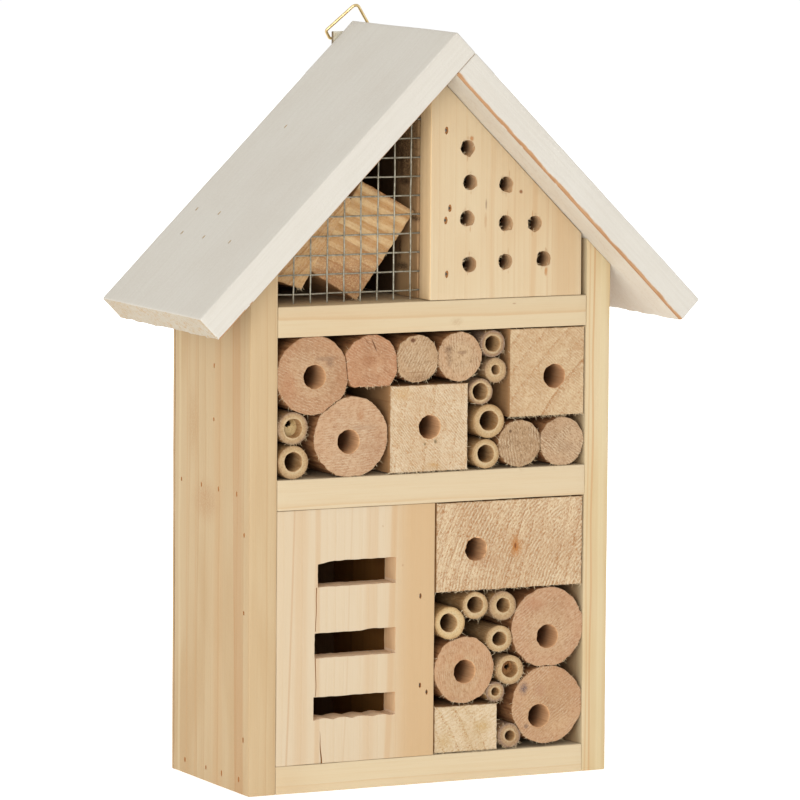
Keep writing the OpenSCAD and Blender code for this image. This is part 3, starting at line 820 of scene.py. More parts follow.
front_nails = [head for head, _, _ in rods("brads_front", (0, -1, 0))]
for head in front_nails:
    if head.z > 150:
        pocket(marks, head, (0, -1, 0), (0.05, 0, 1), 1.3, 2.6, 0.75, 2)
cut(gable, marks)
belongs(gable, ["drilled_gable"])

splinters = Shape()
for a, b in GABLE_HOLES:
    centre = (a + b) / 2
    for _ in range(30):
        t = dice.gauss(math.pi * 0.95, 1.3)
        r = GABLE_HOLE_R + 0.25
        root = (centre.x + r * math.cos(t), low.y + dice.uniform(-0.05, 0.6), centre.z + r * math.sin(t))
        aim = (-math.cos(t) * 0.8, dice.uniform(-0.8, 0.2), dice.uniform(-1, 1))
        splinters.sliver(root, aim, dice.uniform(0.5, 1.3), dice.uniform(0.12, 0.28), 0)
belongs(splinters.build("gable-hole-fibres", [fuzz_look]), [])


# ---------------------------------------------------------------- slotted panel

low, high = place("slot_panel")
outline = [(low.x + FRONT_GAP, low.z + FRONT_GAP), (high.x, low.z + FRONT_GAP),
           (high.x, high.z - FRONT_GAP), (low.x + FRONT_GAP, high.z - FRONT_GAP)]
panel = board("slotted-panel", outline, low.y, high.y, [slotted_look, slot_floor_lit_look, nick_look, slot_wall_lit_look],
              0.3, 2.6, 0.07, 12.0)
marks = Shape()


def slot_edges(index, share, depth):
    """How far a slot's torn lower and upper edge stray, at a share of its length and at a depth."""
    x = share * 30
    lower = 0.2 * jitter((x, depth, index * 9), 2.2) - 0.12 * abs(jitter((x, depth, index * 5), 0.9))
    upper = 0.2 * jitter((x, depth * 0.4, index * 3 + 40), 3.0)
    if index == 3:
        upper -= 1.0 * max(0.0, 1 - share / 0.2)
    if index == 2:
        upper -= 0.45 if share < 0.55 else 0.45 * max(0.0, 1 - (share - 0.55) / 0.12)
    if index == 1:
        lower += 0.55 * abs(math.sin(4.2 * math.pi * share)) - 0.2
    return lower, upper


def crack(cutter, path, width, front, depth, kind):
    """Thin split in a face, open at the front and closing to nothing at the back."""
    lines = []
    for y, share in ((front - 0.5, 1.0), (front, 1.0), (front + depth, 0.15)):
        for side in (-1, 1):
            half = [side * share * width(k / (len(path) - 1)) / 2 for k in range(len(path))]
            lines.append(cutter.loop([(x + h, y, z) for h, (x, z) in zip(half, path)]))
    for a, b in ((0, 1), (1, 3), (3, 5), (5, 4), (4, 2), (2, 0)):
        cutter.bridge(lines[a], lines[b], kind, False)
    for end in (0, -1):
        for a, b, c, d in ((0, 1, 3, 2), (2, 3, 5, 4)):
            cutter.faces.append([lines[k][end] for k in (a, b, c, d)])
            cutter.kinds.append(kind)


# Points along a slot's long edges and steps along its ends
SLOT_POINTS = 30
END_STEPS = 9
edges = {}
for index, shift in ((3, 0.6), (2, -0.45), (1, -0.75)):
    a, b = HOLES[f"entrance_slot_{index}"]
    x0, x1, z0, z1 = a.x - 0.3 + shift, b.x + 0.3, a.z - 0.2, b.z + 0.2
    edges[index] = (z0, z1)
    loops = []
    for y in np.linspace(low.y - 1, high.y + 1, 9):
        ring = []
        for k in range(SLOT_POINTS):
            t = k / (SLOT_POINTS - 1)
            ring.append((x0 + (x1 - x0) * t, y, z0 + slot_edges(index, t, y)[0]))
        bottom, top = ring[-1][2], z1 + slot_edges(index, 1.0, y)[1]
        for k in range(1, END_STEPS):
            z = bottom + (top - bottom) * k / END_STEPS
            ring.append((x1 + 0.1 * jitter((y, z, 3), 2.0), y, z))
        for k in range(SLOT_POINTS):
            t = 1 - k / (SLOT_POINTS - 1)
            ring.append((x0 + (x1 - x0) * t, y, z1 + slot_edges(index, t, y)[1]))
        bottom, top = ring[0][2], ring[-1][2]
        for k in range(1, END_STEPS):
            z = top + (bottom - top) * k / END_STEPS
            ring.append((x0 - 0.25 * abs(jitter((y * 0.5, z, index * 7), 1.5)), y, z))
        loops.append(marks.loop(ring))
    for p, q in zip(loops, loops[1:]):
        n = len(p)
        for i in range(n):
            j = (i + 1) % n
            marks.faces.append((p[i], p[j], q[j], q[i]))
            marks.kinds.append(1 if i < SLOT_POINTS else 3)
    for ring in (loops[0], loops[-1]):
        marks.fan(ring, marks.middle(ring), 1)
cut(panel, marks)
marks = Shape()
for lower, upper in ((edges[2][1] + 0.2, edges[3][0] - 0.1), (edges[1][1] + 0.2, edges[2][0] - 0.1)):
    path = [(-42.55 + 0.35 * jitter((1, z, 2), 5.0), z) for z in np.linspace(lower, upper, 14)]
    crack(marks, path, lambda t: 0.22 + 0.1 * t, low.y, 1.2, 2)
path = [(-40.2 - 0.7 * t + 0.1 * math.sin(9 * t), low.z - 0.6 + 11.6 * t) for t in np.linspace(0, 1, 14)]
crack(marks, path, lambda t: 0.55 * (1 - t) + 0.05, low.y, 4.0, 2)
for head in front_nails:
    if head.z < 150:
        pocket(marks, head, (0, -1, 0), (0, 0, 1), 0.9, 1.9, 0.9, 2)
cut(panel, marks)
belongs(panel, ["slot_panel"])


# ---------------------------------------------------------------- roof


def roof_board(name, node, side, top_end, low_end, seed):
    """The left (-1) or the right (1) board. Its faces start at these places down the slope."""
    down = Vector((side * math.cos(SLOPE), 0, -math.sin(SLOPE)))
    out = Vector((side * math.sin(SLOPE), 0, math.cos(SLOPE)))
    low, high = place(node)
    ridge = Vector((PEAK[0], 0, PEAK[1]))
    ends = ((low_end, 0), (top_end, ROOF_T), (ROOF_LEN, ROOF_T), (ROOF_LEN, 0))
    corners = [ridge + down * s + out * t for s, t in ends]
    outline = [(c.x, c.z) for c in corners]
    turn = -side * SLOPE
    top = paint(name + " paint", (233, 227, 214), (224, 215, 200), turn)
    # The underside paint is paler than the top's: painted light that makes up for its shade
    under = paint(name + " underside paint", (250, 240, 222), (240, 226, 204), turn, 0.2)
    edge = paint(name + " edge paint", (232, 226, 214), (224, 216, 202), turn,
                 worn=(ridge.dot(out), 1.05 if side > 0 else 0.25))
    end = paint(name + " end grain", (211, 199, 177), (202, 183, 152), turn, 0.85, (202, 164, 114))
    bare = wood(name + " bare edge", (206, 160, 116), (176, 122, 80), "X", (0, 0, 0), 3.0, 0.6, 2.0, seed,
                turn=turn)
    looks = [top, edge, end, bare, dent_look, under]

    def local(p):
        q = Vector((p.x - PEAK[0], 0, p.z - PEAK[1]))
        return q.dot(down), q.dot(out)

    def kinds(centre, normal):
        facing = normal.dot(out)
        if normal.dot(down) > 0.75:
            return looks.index(end)
        if normal.y < -0.25 and facing < -0.25 and (side > 0 or local(centre)[0] > 104):
            return looks.index(bare)
        if normal.y < -0.6 or -0.5 <= facing <= 0.3:
            return looks.index(edge)
        return looks.index(top if facing > 0.3 else under)

    def shape(p, shift):
        s, t = local(p)
        if s > ROOF_LEN - 1.2 and t < 1.5:
            shift = shift + down * (0.5 * jitter(p, 1.6, seed))
            shift = shift + out * (0.5 * abs(jitter(p, 1.1, seed + 1)))
        return shift

    item = board(name, outline, low.y, high.y, looks, 0.55, 2.6, 0.1, seed, kinds, shape)
    marks = Shape()
    for head, into, _ in rods("brads_roof", (0, 0, 1)):
        # The brads near the ridge are painted over
        if (into.x > 0) == (side < 0) and abs(into.x) > 0.1 and local(head)[0] > 20:
            pocket(marks, head, -into, down, 0.75, 1.7, 0.35, looks.index(dent_look))
    cut(item, marks)
    belongs(item, [node])


# How far past the peak the left board laps over the right one, and how far the right one is cut back
lap = ROOF_T / math.sin(math.pi - 2 * SLOPE)
butt = ROOF_T / math.tan(math.pi - 2 * SLOPE)
roof_board("left-roof-board", "roof_left", -1, -lap, -lap, 21.0)
roof_board("right-roof-board", "roof_right", 1, -butt, 0.0, 22.0)


# ---------------------------------------------------------------- brads and screws

steel_look = metal("nail steel", (150, 140, 128), (96, 78, 60), 0.42)
for node, outward in (("brads_left", (-1, 0, 0)), ("brads_right", (1, 0, 0)), ("brads_front", (0, -1, 0)),
                      ("brads_back", (0, 1, 0)), ("brads_roof", (0, 0, 1))):
    shape = Shape()
    for head, into, length in rods(node, outward):
        start = head + into * 0.45
        path = [start, start + into * 0.12, start + into * 0.3, start + into * (length - 1.2)]
        path.append(head + into * (length - 0.2))
        shape.tube(path, lambda t: 0.2 if t == 0 else 0.5 if t < 1 else 0.15, 10)
    item = shape.build(node.replace("_", "-"), [steel_look])
    belongs(item, [node])


# ---------------------------------------------------------------- filling

# Left, right, floor and ceiling of the two bays
BAY_UP = (-57.0, 58.0, 105.1, 152.5)
BAY_LOW = (1.5, 58.0, 9.4, 94.9)
logs = [f"log_{i}" for i in range(1, 11)]
blocks = [f"block_{i}" for i in range(1, 5)]
canes = [f"bamboo_{i}" for i in range(1, 15)]


def circle_of(node):
    low, high = place(node)
    return (low.x + high.x) / 2, (low.z + high.z) / 2, (high.x - low.x) / 2


def bore_of(node):
    a, b = HOLES[node + "_hole"]
    return (a.x + b.x) / 2, (a.z + b.z) / 2


# How much wider each log is than its CAD cylinder
SWELL = dict(zip(logs, (1.07, 1.1, 1.03, 1.04, 1.06, 1.04, 1.03, 1.04, 1.03, 1.05)))
rounds = {n: circle_of(n) for n in logs + canes}
rounds = {n: (x, z, r * SWELL.get(n, 1.0)) for n, (x, z, r) in rounds.items()}


def limits(node):
    """Straight limits that keep a round piece clear of its neighbours and the bay, each as
    (direction x, direction z, distance)."""
    x, z, r = rounds[node]
    left, right, floor, ceiling = BAY_UP if z > 100 else BAY_LOW
    found = [(-1, 0, x - left), (1, 0, right - x), (0, -1, z - floor), (0, 1, ceiling - z)]
    for other, (ox, oz, o_r) in rounds.items():
        gap = math.hypot(ox - x, oz - z)
        if other != node and gap < r + o_r + 3:
            found.append(((ox - x) / gap, (oz - z) / gap, (gap * gap + r * r - o_r * o_r) / (2 * gap)))
    for block in blocks:
        low, high = place(block)
        sides = [(1, 0, low.x - x), (-1, 0, x - high.x), (0, 1, low.z - z), (0, -1, z - high.z)]
        best = max(sides, key=lambda s: s[2])
        if best[2] > 0:
            found.append(best)
    return [(dx, dz, d - 0.06) for dx, dz, d in found]


def round_outline(node, count, bumps, seed):
    """Loop round a log or cane, a little uneven and flat where it meets a neighbour."""
    x, z, r = rounds[node]
    walls = limits(node)
    points = []
    for t in angles(count):
        reach = r * (1 + bumps * (wobble(t, 3, 1.5, seed) * 1.6 + wobble(t, 9, 1.2, seed + 1) * 0.5))
        for dx, dz, d in walls:
            facing = dx * math.cos(t) + dz * math.sin(t)
            if facing > 0.05:
                reach = min(reach, d / facing)
        points.append((x + reach * math.cos(t), z + reach * math.sin(t)))
    return points


def facing(arm, t):
    """How nearly an arm in x and z points in a direction, at most 1."""
    return arm.x * math.cos(t) / arm.length + arm.z * math.sin(t) / arm.length


def rim_fuzz(amount, where, spread, length, width):
    """Torn fibres on the sawn rim, mostly round one direction."""

    def grow(shape, edge_points, hub):
        front = min(p.y for p in shape.points)
        for _ in range(amount):
            t = dice.gauss(where, spread)
            p = max(edge_points, key=lambda q: facing(q - hub, t))
            p = p + (hub - p).normalized() * dice.uniform(0.1, 0.5)
            stray = Vector((dice.uniform(-0.8, 0.8), dice.uniform(-0.9, 0.3), dice.uniform(-0.8, 0.8)))
            aim = (p - hub).normalized() * 0.9 + stray
            root = (p.x, front + dice.uniform(0.1, 0.7), p.z)
            shape.sliver(root, aim, dice.uniform(*length), dice.uniform(*width), 3)

    return grow


front_y, rear_y = place("log_1")[0].y, place("log_1")[1].y

# Pale and dark wood, sap wood (tint, amount), and saw lines (direction of the hub, spacing, strength)
LOG_TONES = {
    "log_1": ((208, 170, 130), (162, 112, 76), ((186, 132, 92), 0.5), (1.15, 0.95, 0.7)),
    "log_2": ((204, 156, 116), (158, 104, 68), ((196, 140, 100), 0.5), (1.1, 0.9, 0.7)),
    "log_3": ((208, 174, 134), (148, 110, 74), ((196, 154, 112), 0.4), (-0.5, 1.0, 1.0)),
    "log_4": ((212, 178, 138), (150, 112, 76), ((206, 160, 120), 0.5), (0.1, 1.0, 0.9)),
    "log_5": ((214, 178, 140), (168, 118, 82), ((208, 164, 124), 0.5), (1.65, 0.9, 0.75)),
    "log_6": ((206, 171, 130), (138, 102, 68), ((186, 150, 112), 0.4), (0.15, 1.05, 1.2)),
    "log_7": ((210, 176, 138), (146, 108, 72), ((200, 160, 122), 0.4), (0.95, 0.9, 1.0)),
    "log_8": ((212, 174, 132), (166, 116, 78), ((206, 156, 116), 0.5), (0.1, 0.8, 0.6)),
    "log_9": ((212, 174, 134), (166, 116, 78), ((204, 154, 116), 0.5), (-0.95, 1.0, 0.7)),
    "log_10": ((218, 180, 137), (170, 120, 80), ((198, 150, 112), 0.5), (-0.9, 0.95, 0.85)),
}
# Smudges, cracks and knots on the sawn ends: offset from the middle, radii, colour, amount
LOG_SPOTS = {
    "log_1": [((4.6, 5.4), (4.5, 1.0), (140, 108, 86), 0.4), ((6.2, 3.8), (1.6, 1.6), (136, 104, 84), 0.4),
              ((-9, -3), (3, 6), (184, 122, 84), 0.3)],
    "log_2": [((1.0, 6.3), (2.6, 0.28), (96, 56, 34), 0.85, -1.15),
              ((-1.6, 7.6), (1.6, 0.2), (120, 74, 46), 0.6, -0.9),
              ((-1, 1.5), (2.6, 2.0), (168, 112, 74), 0.5)],
    "log_3": [((-1.6, 6.3), (1.0, 0.9), (110, 66, 38), 0.9), ((0, -4.5), (5, 0.3), (150, 108, 72), 0.45),
              ((1, -6.5), (5, 1.6), (150, 112, 78), 0.4)],
    "log_4": [((-4.4, 2.6), (1.6, 1.4), (130, 98, 72), 0.5), ((-4, -0.5), (1.2, 3.0), (140, 106, 78), 0.4),
              ((0.8, 1.4), (2.0, 0.7), (134, 96, 72), 0.5)],
    "log_5": [((3.5, 7), (1.4, 2.2), (190, 140, 100), 0.6), ((4, 3), (5, 1.0), (176, 140, 110), 0.4)],
    "log_6": [((-3.6, 4.3), (0.6, 0.6), (100, 70, 46), 0.8)],
    "log_7": [((2, -2), (3, 2), (160, 126, 96), 0.25)],
    "log_8": [((-2, 4), (3, 2), (196, 140, 100), 0.4)],
    "log_9": [((-5, 8), (4, 2.5), (196, 140, 104), 0.35)],
    "log_10": [((-9, 6), (1.8, 2.2), (90, 80, 90), 0.5), ((-3, 5), (2.4, 3), (186, 136, 104), 0.4),
               ((-8, -7), (1.0, 1.0), (110, 90, 84), 0.5)],
}
# The bores of logs and blocks turn darker further in: painted shade
bore_look = wood("log bore", (252, 200, 148), (200, 146, 98), "Y", (0, 0, 0), 2.2, 0.5, 1.0, 3.3,
                 (206, 150, 104), fibre=1.2, painted_depth_shade=(front_y + 2, front_y + 13, (150, 104, 68)))
bark_look = bark("log bark", (190, 138, 92), (140, 92, 56), 2.0)
for index, node in enumerate(logs):
    pale, dark, (tint, amount), (angle, pitch, strength) = LOG_TONES[node]
    x, z, r = rounds[node]
    look = wood(f"sawn end of log {index + 1}", pale, dark, "Y",
                (x + dice.uniform(-2, 2), 0, z + dice.uniform(-2, 2)),
                2.6, 0.16, 0.8, index * 1.7, None, (angle, 200, pitch, strength), 0.0, 0.3, patches=0.4,
                middle=(x, z), sap=(r, tint, amount),
                spots=[((x + dx, front_y, z + dz), (a, 3, b), tint, amount, *turned)
                       for (dx, dz), (a, b), tint, amount, *turned in LOG_SPOTS[node]])
    bore = None
    if node + "_hole" in HOLES:
        bx, bz = bore_of(node)
        bore = (bx, bz, lambda t, s=index: DRILL_R + 0.12 * wobble(t, 4, 1.3, s))
    item = plug(node, round_outline(node, 132, 0.014, index), bore, front_y, rear_y,
                [look, bark_look, bore_look, fuzz_look], 0.35, 0.14, 18, index, 0.22,
                rim_fuzz(44, -1.5, 1.2, (0.5, 1.5), (0.14, 0.3)), 0.12)
    belongs(item, [node])


def box_outline(node, count, rough, seed):
    """Loop round a block's end face, a little uneven, with points at even steps along each edge."""
    low, high = place(node)
    corners = rectangle(low, high)
    width, height = high.x - low.x, high.z - low.z
    points = []
    for i in range(4):
        a, b = corners[i], corners[(i + 1) % 4]
        steps = max(8, round(count * (width if i % 2 == 0 else height) / (2 * (width + height))))
        for k in range(steps):
            t = k / steps
            x, z = a[0] + (b[0] - a[0]) * t, a[1] + (b[1] - a[1]) * t
            inset = 0.06 + rough * (0.5 + 0.5 * jitter((x, 0, z), 1.8, seed))
            inward = ((0, 1), (-1, 0), (0, -1), (1, 0))[i]
            points.append((x + inward[0] * inset, z + inward[1] * inset))
    return points


def edge_fuzz(amount):
    """Torn fibres on the edges of a sawn block, mostly along its bottom edge."""

    def grow(shape, edge_points, hub):
        front = min(p.y for p in shape.points)
        lowest = min(p.z for p in edge_points)
        below = [p for p in edge_points if p.z < lowest + 0.8]
        for _ in range(amount):
            p = dice.choice(below if dice.random() < 0.7 else edge_points)
            stray = Vector((dice.uniform(-1, 1), dice.uniform(-0.8, 0.1), dice.uniform(-0.6, 0.2)))
            aim = (p - hub).normalized() * 0.5 + stray
            root = (p.x, front + dice.uniform(0.1, 0.6), p.z)
            shape.sliver(root, aim, dice.uniform(0.4, 1.5), dice.uniform(0.12, 0.26), 3)

    return grow


# Pale and dark wood, pith, ring spacing, ring strength, saw marks, crumbs, and spots as in wood
BLOCK_TONES = {
    "block_1": ((226, 197, 155), (184, 136, 88), (130, 0, 60), 6.2, 0.85,
                (0.9, 200, 0.85, 0.7, 0.4), 0.7, ()),
    "block_2": ((234, 211, 177), (200, 156, 106), (-200, 0, 150), 5.4, 0.6, (0.7, 200, 0.78, 1.3, 0.3), 0.8,
                (((-11, -29, 132), (4, 3, 2.6), (212, 168, 110), 0.5),
                 ((1.6, -29, 115.4), (0.7, 3, 0.9), (120, 100, 60), 0.8),
                 ((-2.4, -29, 114.8), (0.6, 3, 0.6), (120, 100, 60), 0.7),
                 ((1, -29, 107.5), (3, 3, 1.2), (206, 160, 100), 0.5))),
    "block_3": ((238, 212, 172), (186, 136, 88), (-113, 0, 122), 4.3, 0.95, (-0.51, 53, 1.2, 1.7, 0.3), 0.8,
                (((32.3, -29, 78.5), (2.5, 9, 4.0), (198, 134, 72), 0.6),
                 ((32.3, -29, 78.4), (1.09, 9, 2.3), (196, 126, 62), 0.7),
                 ((32.1, -29, 78.7), (0.45, 9, 1.1), (136, 78, 38), 0.9),
                 ((20, -29, 74), (6, 3, 3), (186, 132, 88), 0.35))),
    "block_4": ((238, 216, 182), (200, 162, 104), (-120, 0, -45), 5.0, 0.65,
                (-1.1, 200, 1.2, 0.8, 0.4), 0.9,
                (((20, -29, 18), (3.4, 3, 2.6), (206, 170, 110), 0.6),
                 ((6, -29, 14), (3, 3, 4), (206, 170, 112), 0.5))),
}
# The long-grain sides of blocks and offcuts: their own side-grain colour, darkened as painted shade
flank_shade_look = wood("sawn flank darkened as painted shade", (204, 156, 106), (164, 114, 72), "Y", (0, 0, 60), 3.4, 0.5, 2.0, 4.4,
                  (206, 156, 104))
for index, node in enumerate(blocks):
    pale, dark, pith, spacing, lines, saw, specks, spots = BLOCK_TONES[node]
    low, high = place(node)
    look = wood(f"sawn end of block {index + 1}", pale, dark, "Y", pith, spacing, lines, 1.4, index * 2.9,
                dark, saw, specks, 0.3, patches=0.4, spots=spots,
                middle=((low.x + high.x) / 2, (low.z + high.z) / 2))
    bore = None
    if node + "_hole" in HOLES:
        bx, bz = bore_of(node)
        bore = (bx, bz, lambda t, s=index: DRILL_R + 0.16 * wobble(t, 4, 1.2, s + 4))
    item = plug(node, box_outline(node, 190, 0.3, index), bore, front_y, rear_y,
                [look, flank_shade_look, bore_look, fuzz_look], 0.3, 0.2, 26, index + 20, 0.05, edge_fuzz(90),
                0.4 if node == "block_3" else 0.14)
    belongs(item, [node])


# Bore radius, how grey the rim is, how flat and in which direction, loose fibres, and the bore's offset
CANES = {
    "bamboo_1": (2.9, 1.8, 0.03, 1.3, 8, (0, 0)),
    "bamboo_2": (1.8, 0.5, 0.05, 0.4, 14, (0, 0.2)),
    "bamboo_3": (3.0, 0.7, 0.03, 1.0, 6, (-0.2, 0)),
    "bamboo_4": (3.55, 0.1, 0.02, 1.5, 6, (0, 0.2)),
    "bamboo_5": (3.2, 0.15, 0.03, 1.2, 12, (0, 0.1)),
    "bamboo_6": (3.4, 0.7, 0.03, 1.5, 30, (0.1, 0)),
    "bamboo_7": (3.4, 0.3, 0.02, 0.6, 10, (0, 0.2)),
    "bamboo_8": (3.4, -0.6, 0.06, 0.9, 16, (-0.5, 0.1)),
    "bamboo_9": (3.1, 0.2, 0.06, 1.4, 22, (0, 0.3)),
    "bamboo_10": (2.7, 0.6, 0.05, 1.0, 12, (0.2, 0.2)),
    "bamboo_11": (2.8, 0.25, 0.10, 1.5, 24, (0.1, 0)),
    "bamboo_12": (3.1, 0.35, 0.05, 1.3, 34, (0, 0.3)),
    "bamboo_13": (1.6, 1.2, 0.03, 1.3, 10, (0, 0.1)),
    "bamboo_14": (2.0, 1.35, 0.04, 1.3, 30, (0.2, -0.1)),
}
# The cane bores turn darker further in: painted shade
inside_look = cane("cane bore", (228, 184, 130), (196, 150, 98), 7.0,
                   painted_depth_shade=(front_y + 2, front_y + 10, (120, 84, 50)))


def between(warm, grey, share):
    """Colour at a share of the way from one to another, or past it."""
    return tuple(a + (b - a) * share for a, b in zip(warm, grey))


for index, node in enumerate(canes):
    bore_r, grey, flat, lean, fibres, (ox, oz) = CANES[node]
    x, z, r = rounds[node]
    rim = between((212, 178, 128), (188, 152, 108), grey)
    skin = between((184, 144, 92), (146, 118, 98), min(1, max(0, grey)))
    look = cane(f"cane end {index + 1}", rim, skin, index * 1.3, (x, z), r, bore_r)
    skin_look = cane(f"cane skin {index + 1}", skin, (176, 134, 84), index * 2.1 + 3)
    outline = []
    for px, pz in round_outline(node, 66, 0.02, index + 40):
        t = math.atan2(pz - z, px - x)
        squeeze = 1 - flat * (0.5 + 0.5 * math.cos(2 * (t - lean)))
        outline.append((x + (px - x) * squeeze, z + (pz - z) * squeeze))

    def bore_reach(t, s=index, b=bore_r, f=flat, way=lean):
        return b * (1 - 1.3 * f * (0.5 + 0.5 * math.cos(2 * (t - way))) + 0.05 * wobble(t, 3, 1.6, s + 60))

    item = plug(node, outline, (x + ox, z + oz, bore_reach), front_y, rear_y,
                [look, skin_look, inside_look, fuzz_look], 0.25, 0.12, 5, index + 60, 0.05,
                rim_fuzz(fibres * 2, -1.3, 1.0, (0.4, 1.5), (0.12, 0.26)), 0.05)
    belongs(item, [node])


def diaphragm(node, hole, size, look, seed):
    """The cane's cross wall, a few millimetres in, torn open by the drill."""
    bore_r, (ox, oz) = CANES[node][0], CANES[node][5]
    x, z, _ = rounds[node]
    shape = Shape()
    loops = []
    for y in (3.6, 4.2):
        outer, inner = [], []
        for t in angles(40):
            torn = size * (1 + 0.7 * wobble(t, 3, 1.4, seed))
            cup = 0.5 * math.cos(t + 1)
            wide = bore_r + 0.25
            outer.append((x + ox + wide * math.cos(t), front_y + y + 0.8, z + oz + wide * math.sin(t)))
            inner.append((x + ox + hole[0] + torn * math.cos(t), front_y + y - 0.3 + cup * 0.5,
                          z + oz + hole[1] + torn * math.sin(t)))
        middle = []
        for i, (p, q) in enumerate(zip(outer, inner)):
            dent = (0, 0.25 * jitter((i, y, seed), 2.0), 0)
            middle.append(tuple((a + b) / 2 + c for a, b, c in zip(p, q, dent)))
        loops.append([shape.loop(ring) for ring in (outer, middle, inner)])
    front, rear = loops
    circuit = front + rear[::-1] + [front[0]]
    for a, b in zip(circuit, circuit[1:]):
        shape.bridge(a, b)
    belongs(shape.build(node.replace("_", "-") + "-cross-wall", [look]), [])


diaphragm("bamboo_6", (-0.3, 1.1), 1.15, cane("pale cross wall", (250, 220, 160), (200, 166, 110), 4.0),
          3.0)
diaphragm("bamboo_12", (0.5, 0.3), 1.0, cane("brown cross wall", (226, 172, 112), (176, 122, 70), 6.0), 5.0)


# ---------------------------------------------------------------- sawn offcuts behind the mesh


def corners_of(node):
    """Corners of an upright slab's front face, in order round its middle."""
    low, high = place(node)
    vertices = frame["nodes"][node].data.vertices
    points = {(round(v.co.x / MM, 2), round(v.co.z / MM, 2)) for v in vertices if v.co.y / MM < low.y + 0.1}
    cx = sum(p[0] for p in points) / len(points)
    cz = sum(p[1] for p in points) / len(points)
    return sorted(points, key=lambda p: math.atan2(p[1] - cz, p[0] - cx))


def against(corners, wall):
    """Moves the corners that nearly touch a wall, given as two points, right up to it."""
    a, b = (Vector(p) for p in wall)
    normal = Vector(((b - a).y, -(b - a).x)).normalized()
    moved = []
    for corner in corners:
        gap = (a - Vector(corner)).dot(normal)
        moved.append(tuple(Vector(corner) + normal * (gap + 0.3)) if 0 < gap < 1.6 else corner)
    return moved


def dense(corners, step, rough, seed):
    """Outline with points every step, a little uneven."""
    points = []
    for (ax, az), (bx, bz) in zip(corners, corners[1:] + corners[:1]):
        steps = max(2, round(math.hypot(bx - ax, bz - az) / step))
        for k in range(steps):
            x, z = ax + (bx - ax) * k / steps, az + (bz - az) * k / steps
            points.append((x + rough * jitter((x, 1, z), 2.0, seed),
                           z + rough * jitter((x, 5, z), 2.0, seed)))
    return points


big_corners, small_corners = corners_of("big_chunk"), corners_of("small_chunk")
peak = max(big_corners, key=lambda c: c[1])
outer = max(big_corners, key=lambda c: c[0])
inner = min(big_corners, key=lambda c: c[0])
small_corners = against(small_corners, (inner, peak))
rim_turn = math.atan2(outer[1] - peak[1], outer[0] - peak[0])
rim_middle = ((peak[0] + outer[0]) / 2, -19.75, (peak[1] + outer[1]) / 2)
lowest = min(big_corners, key=lambda c: c[1])
chunk_middle = ((inner[0] + outer[0]) / 2, (peak[1] + lowest[1]) / 2)
big_end = wood("big offcut end", (246, 206, 148), (190, 130, 70), "Y", (-108, 0, 4), 4.2, 1.0, 0.5, 1.2,
               (222, 174, 116), (1.13, 200, 1.25, 0.6, 0.3), 0.25, 0.5, patches=0.3, middle=chunk_middle,
               bands=[(366 + 10.5 * k, 3.2, (255, 222, 170), 0.32, -2.14) for k in range(5)]
               + [(361 + 10.5 * k, 3.4, (204, 148, 88), 0.4, -2.14) for k in range(5)],
               spots=[((lowest[0] - 6, -20, lowest[1] + 6), (22, 20, 13), (184, 130, 90), 0.5),
                      (rim_middle, (16, 4, 1.3), (168, 112, 66), 0.7, rim_turn)])
small_end = wood("small offcut end", (246, 200, 140), (196, 138, 84), "Y", (-184, 0, 328), 4.4, 0.7, 0.8,
                 4.2, (212, 158, 104), (-0.8, 200, 1.3, 0.8, 0.5), 0.3, 0.4, patches=0.4, middle=chunk_middle)
for node, corners, look, seed in (("big_chunk", big_corners, big_end, 31),
                                  ("small_chunk", small_corners, small_end, 32)):
    low, high = place(node)
    item = plug(node, dense(corners, 0.7, 0.22, seed), None, low.y, high.y,
                [look, flank_shade_look, bore_look, fuzz_look], 0.3, 0.06, 30, seed, 0.1, edge_fuzz(14))
    belongs(item, [node])


# ---------------------------------------------------------------- welded mesh

zinc_look = metal("zinc wire", (190, 184, 164), (146, 138, 118), 0.45, 0.45)
WIRE_R = 0.28
# First wire, spacing and number of the upright and of the level wires, and their distance under the roof
UPRIGHTS = (-53.6, 6.15, 9)
LEVELS = (165.7, 6.35, 10)
ROOF_GAP = 0.8
shape = Shape()
low, high = place("wire_mesh")
upright_y, level_y = low.y + WIRE_R, high.y - WIRE_R
for x in [UPRIGHTS[0] + UPRIGHTS[1] * k for k in range(UPRIGHTS[2])]:
    top = under_roof(x) - ROOF_GAP
    steps = max(3, int((top - low.z) / 1.5))
    lean = jitter((x, 0, 0), 5.0) * 0.012 + 0.006
    path = []
    for k in range(steps + 1):
        z = low.z + (top - low.z) * k / steps
        sway = lean * (z - low.z) * 0.6 + 0.18 * jitter((x, 0, z), 8.0)
        path.append(Vector((x + sway, upright_y + 0.02 * jitter((x, 3, z), 5.0), z)))
    shape.tube(path, WIRE_R, 10)
for z in [LEVELS[0] + LEVELS[1] * k for k in range(LEVELS[2])]:
    x0 = max(-56.8, PEAK[0] - (PEAK[1] - z - ROOF_GAP) / math.tan(SLOPE))
    steps = max(3, int((high.x - x0) / 1.5))
    path = []
    for k in range(steps + 1):
        x = x0 + (high.x - x0) * k / steps
        path.append(Vector((x, level_y, z + 0.16 * jitter((x, 7, z), 9.0))))
    shape.tube(path, WIRE_R, 10)
item = shape.build("wire-mesh", [zinc_look], 60)
belongs(item, ["wire_mesh"])


# ---------------------------------------------------------------- hanger

brass_look = metal("brass wire", (262, 234, 172), (232, 194, 130), 0.24, 0.9)
# The plate's left edge is dark brown: painted shade on the face that turns away from the light
plate_edge_shade_look = metal("plate edge with painted shade", (150, 128, 92), (110, 90, 62), 0.5, 0.3)
plate_look = metal("brassed plate", (255, 248, 226), (222, 204, 168), 0.42, 0.6)

# Thickness of the plate, and half the width of its lug
PLATE_T = 1.6
LUG_HALF = 4.5

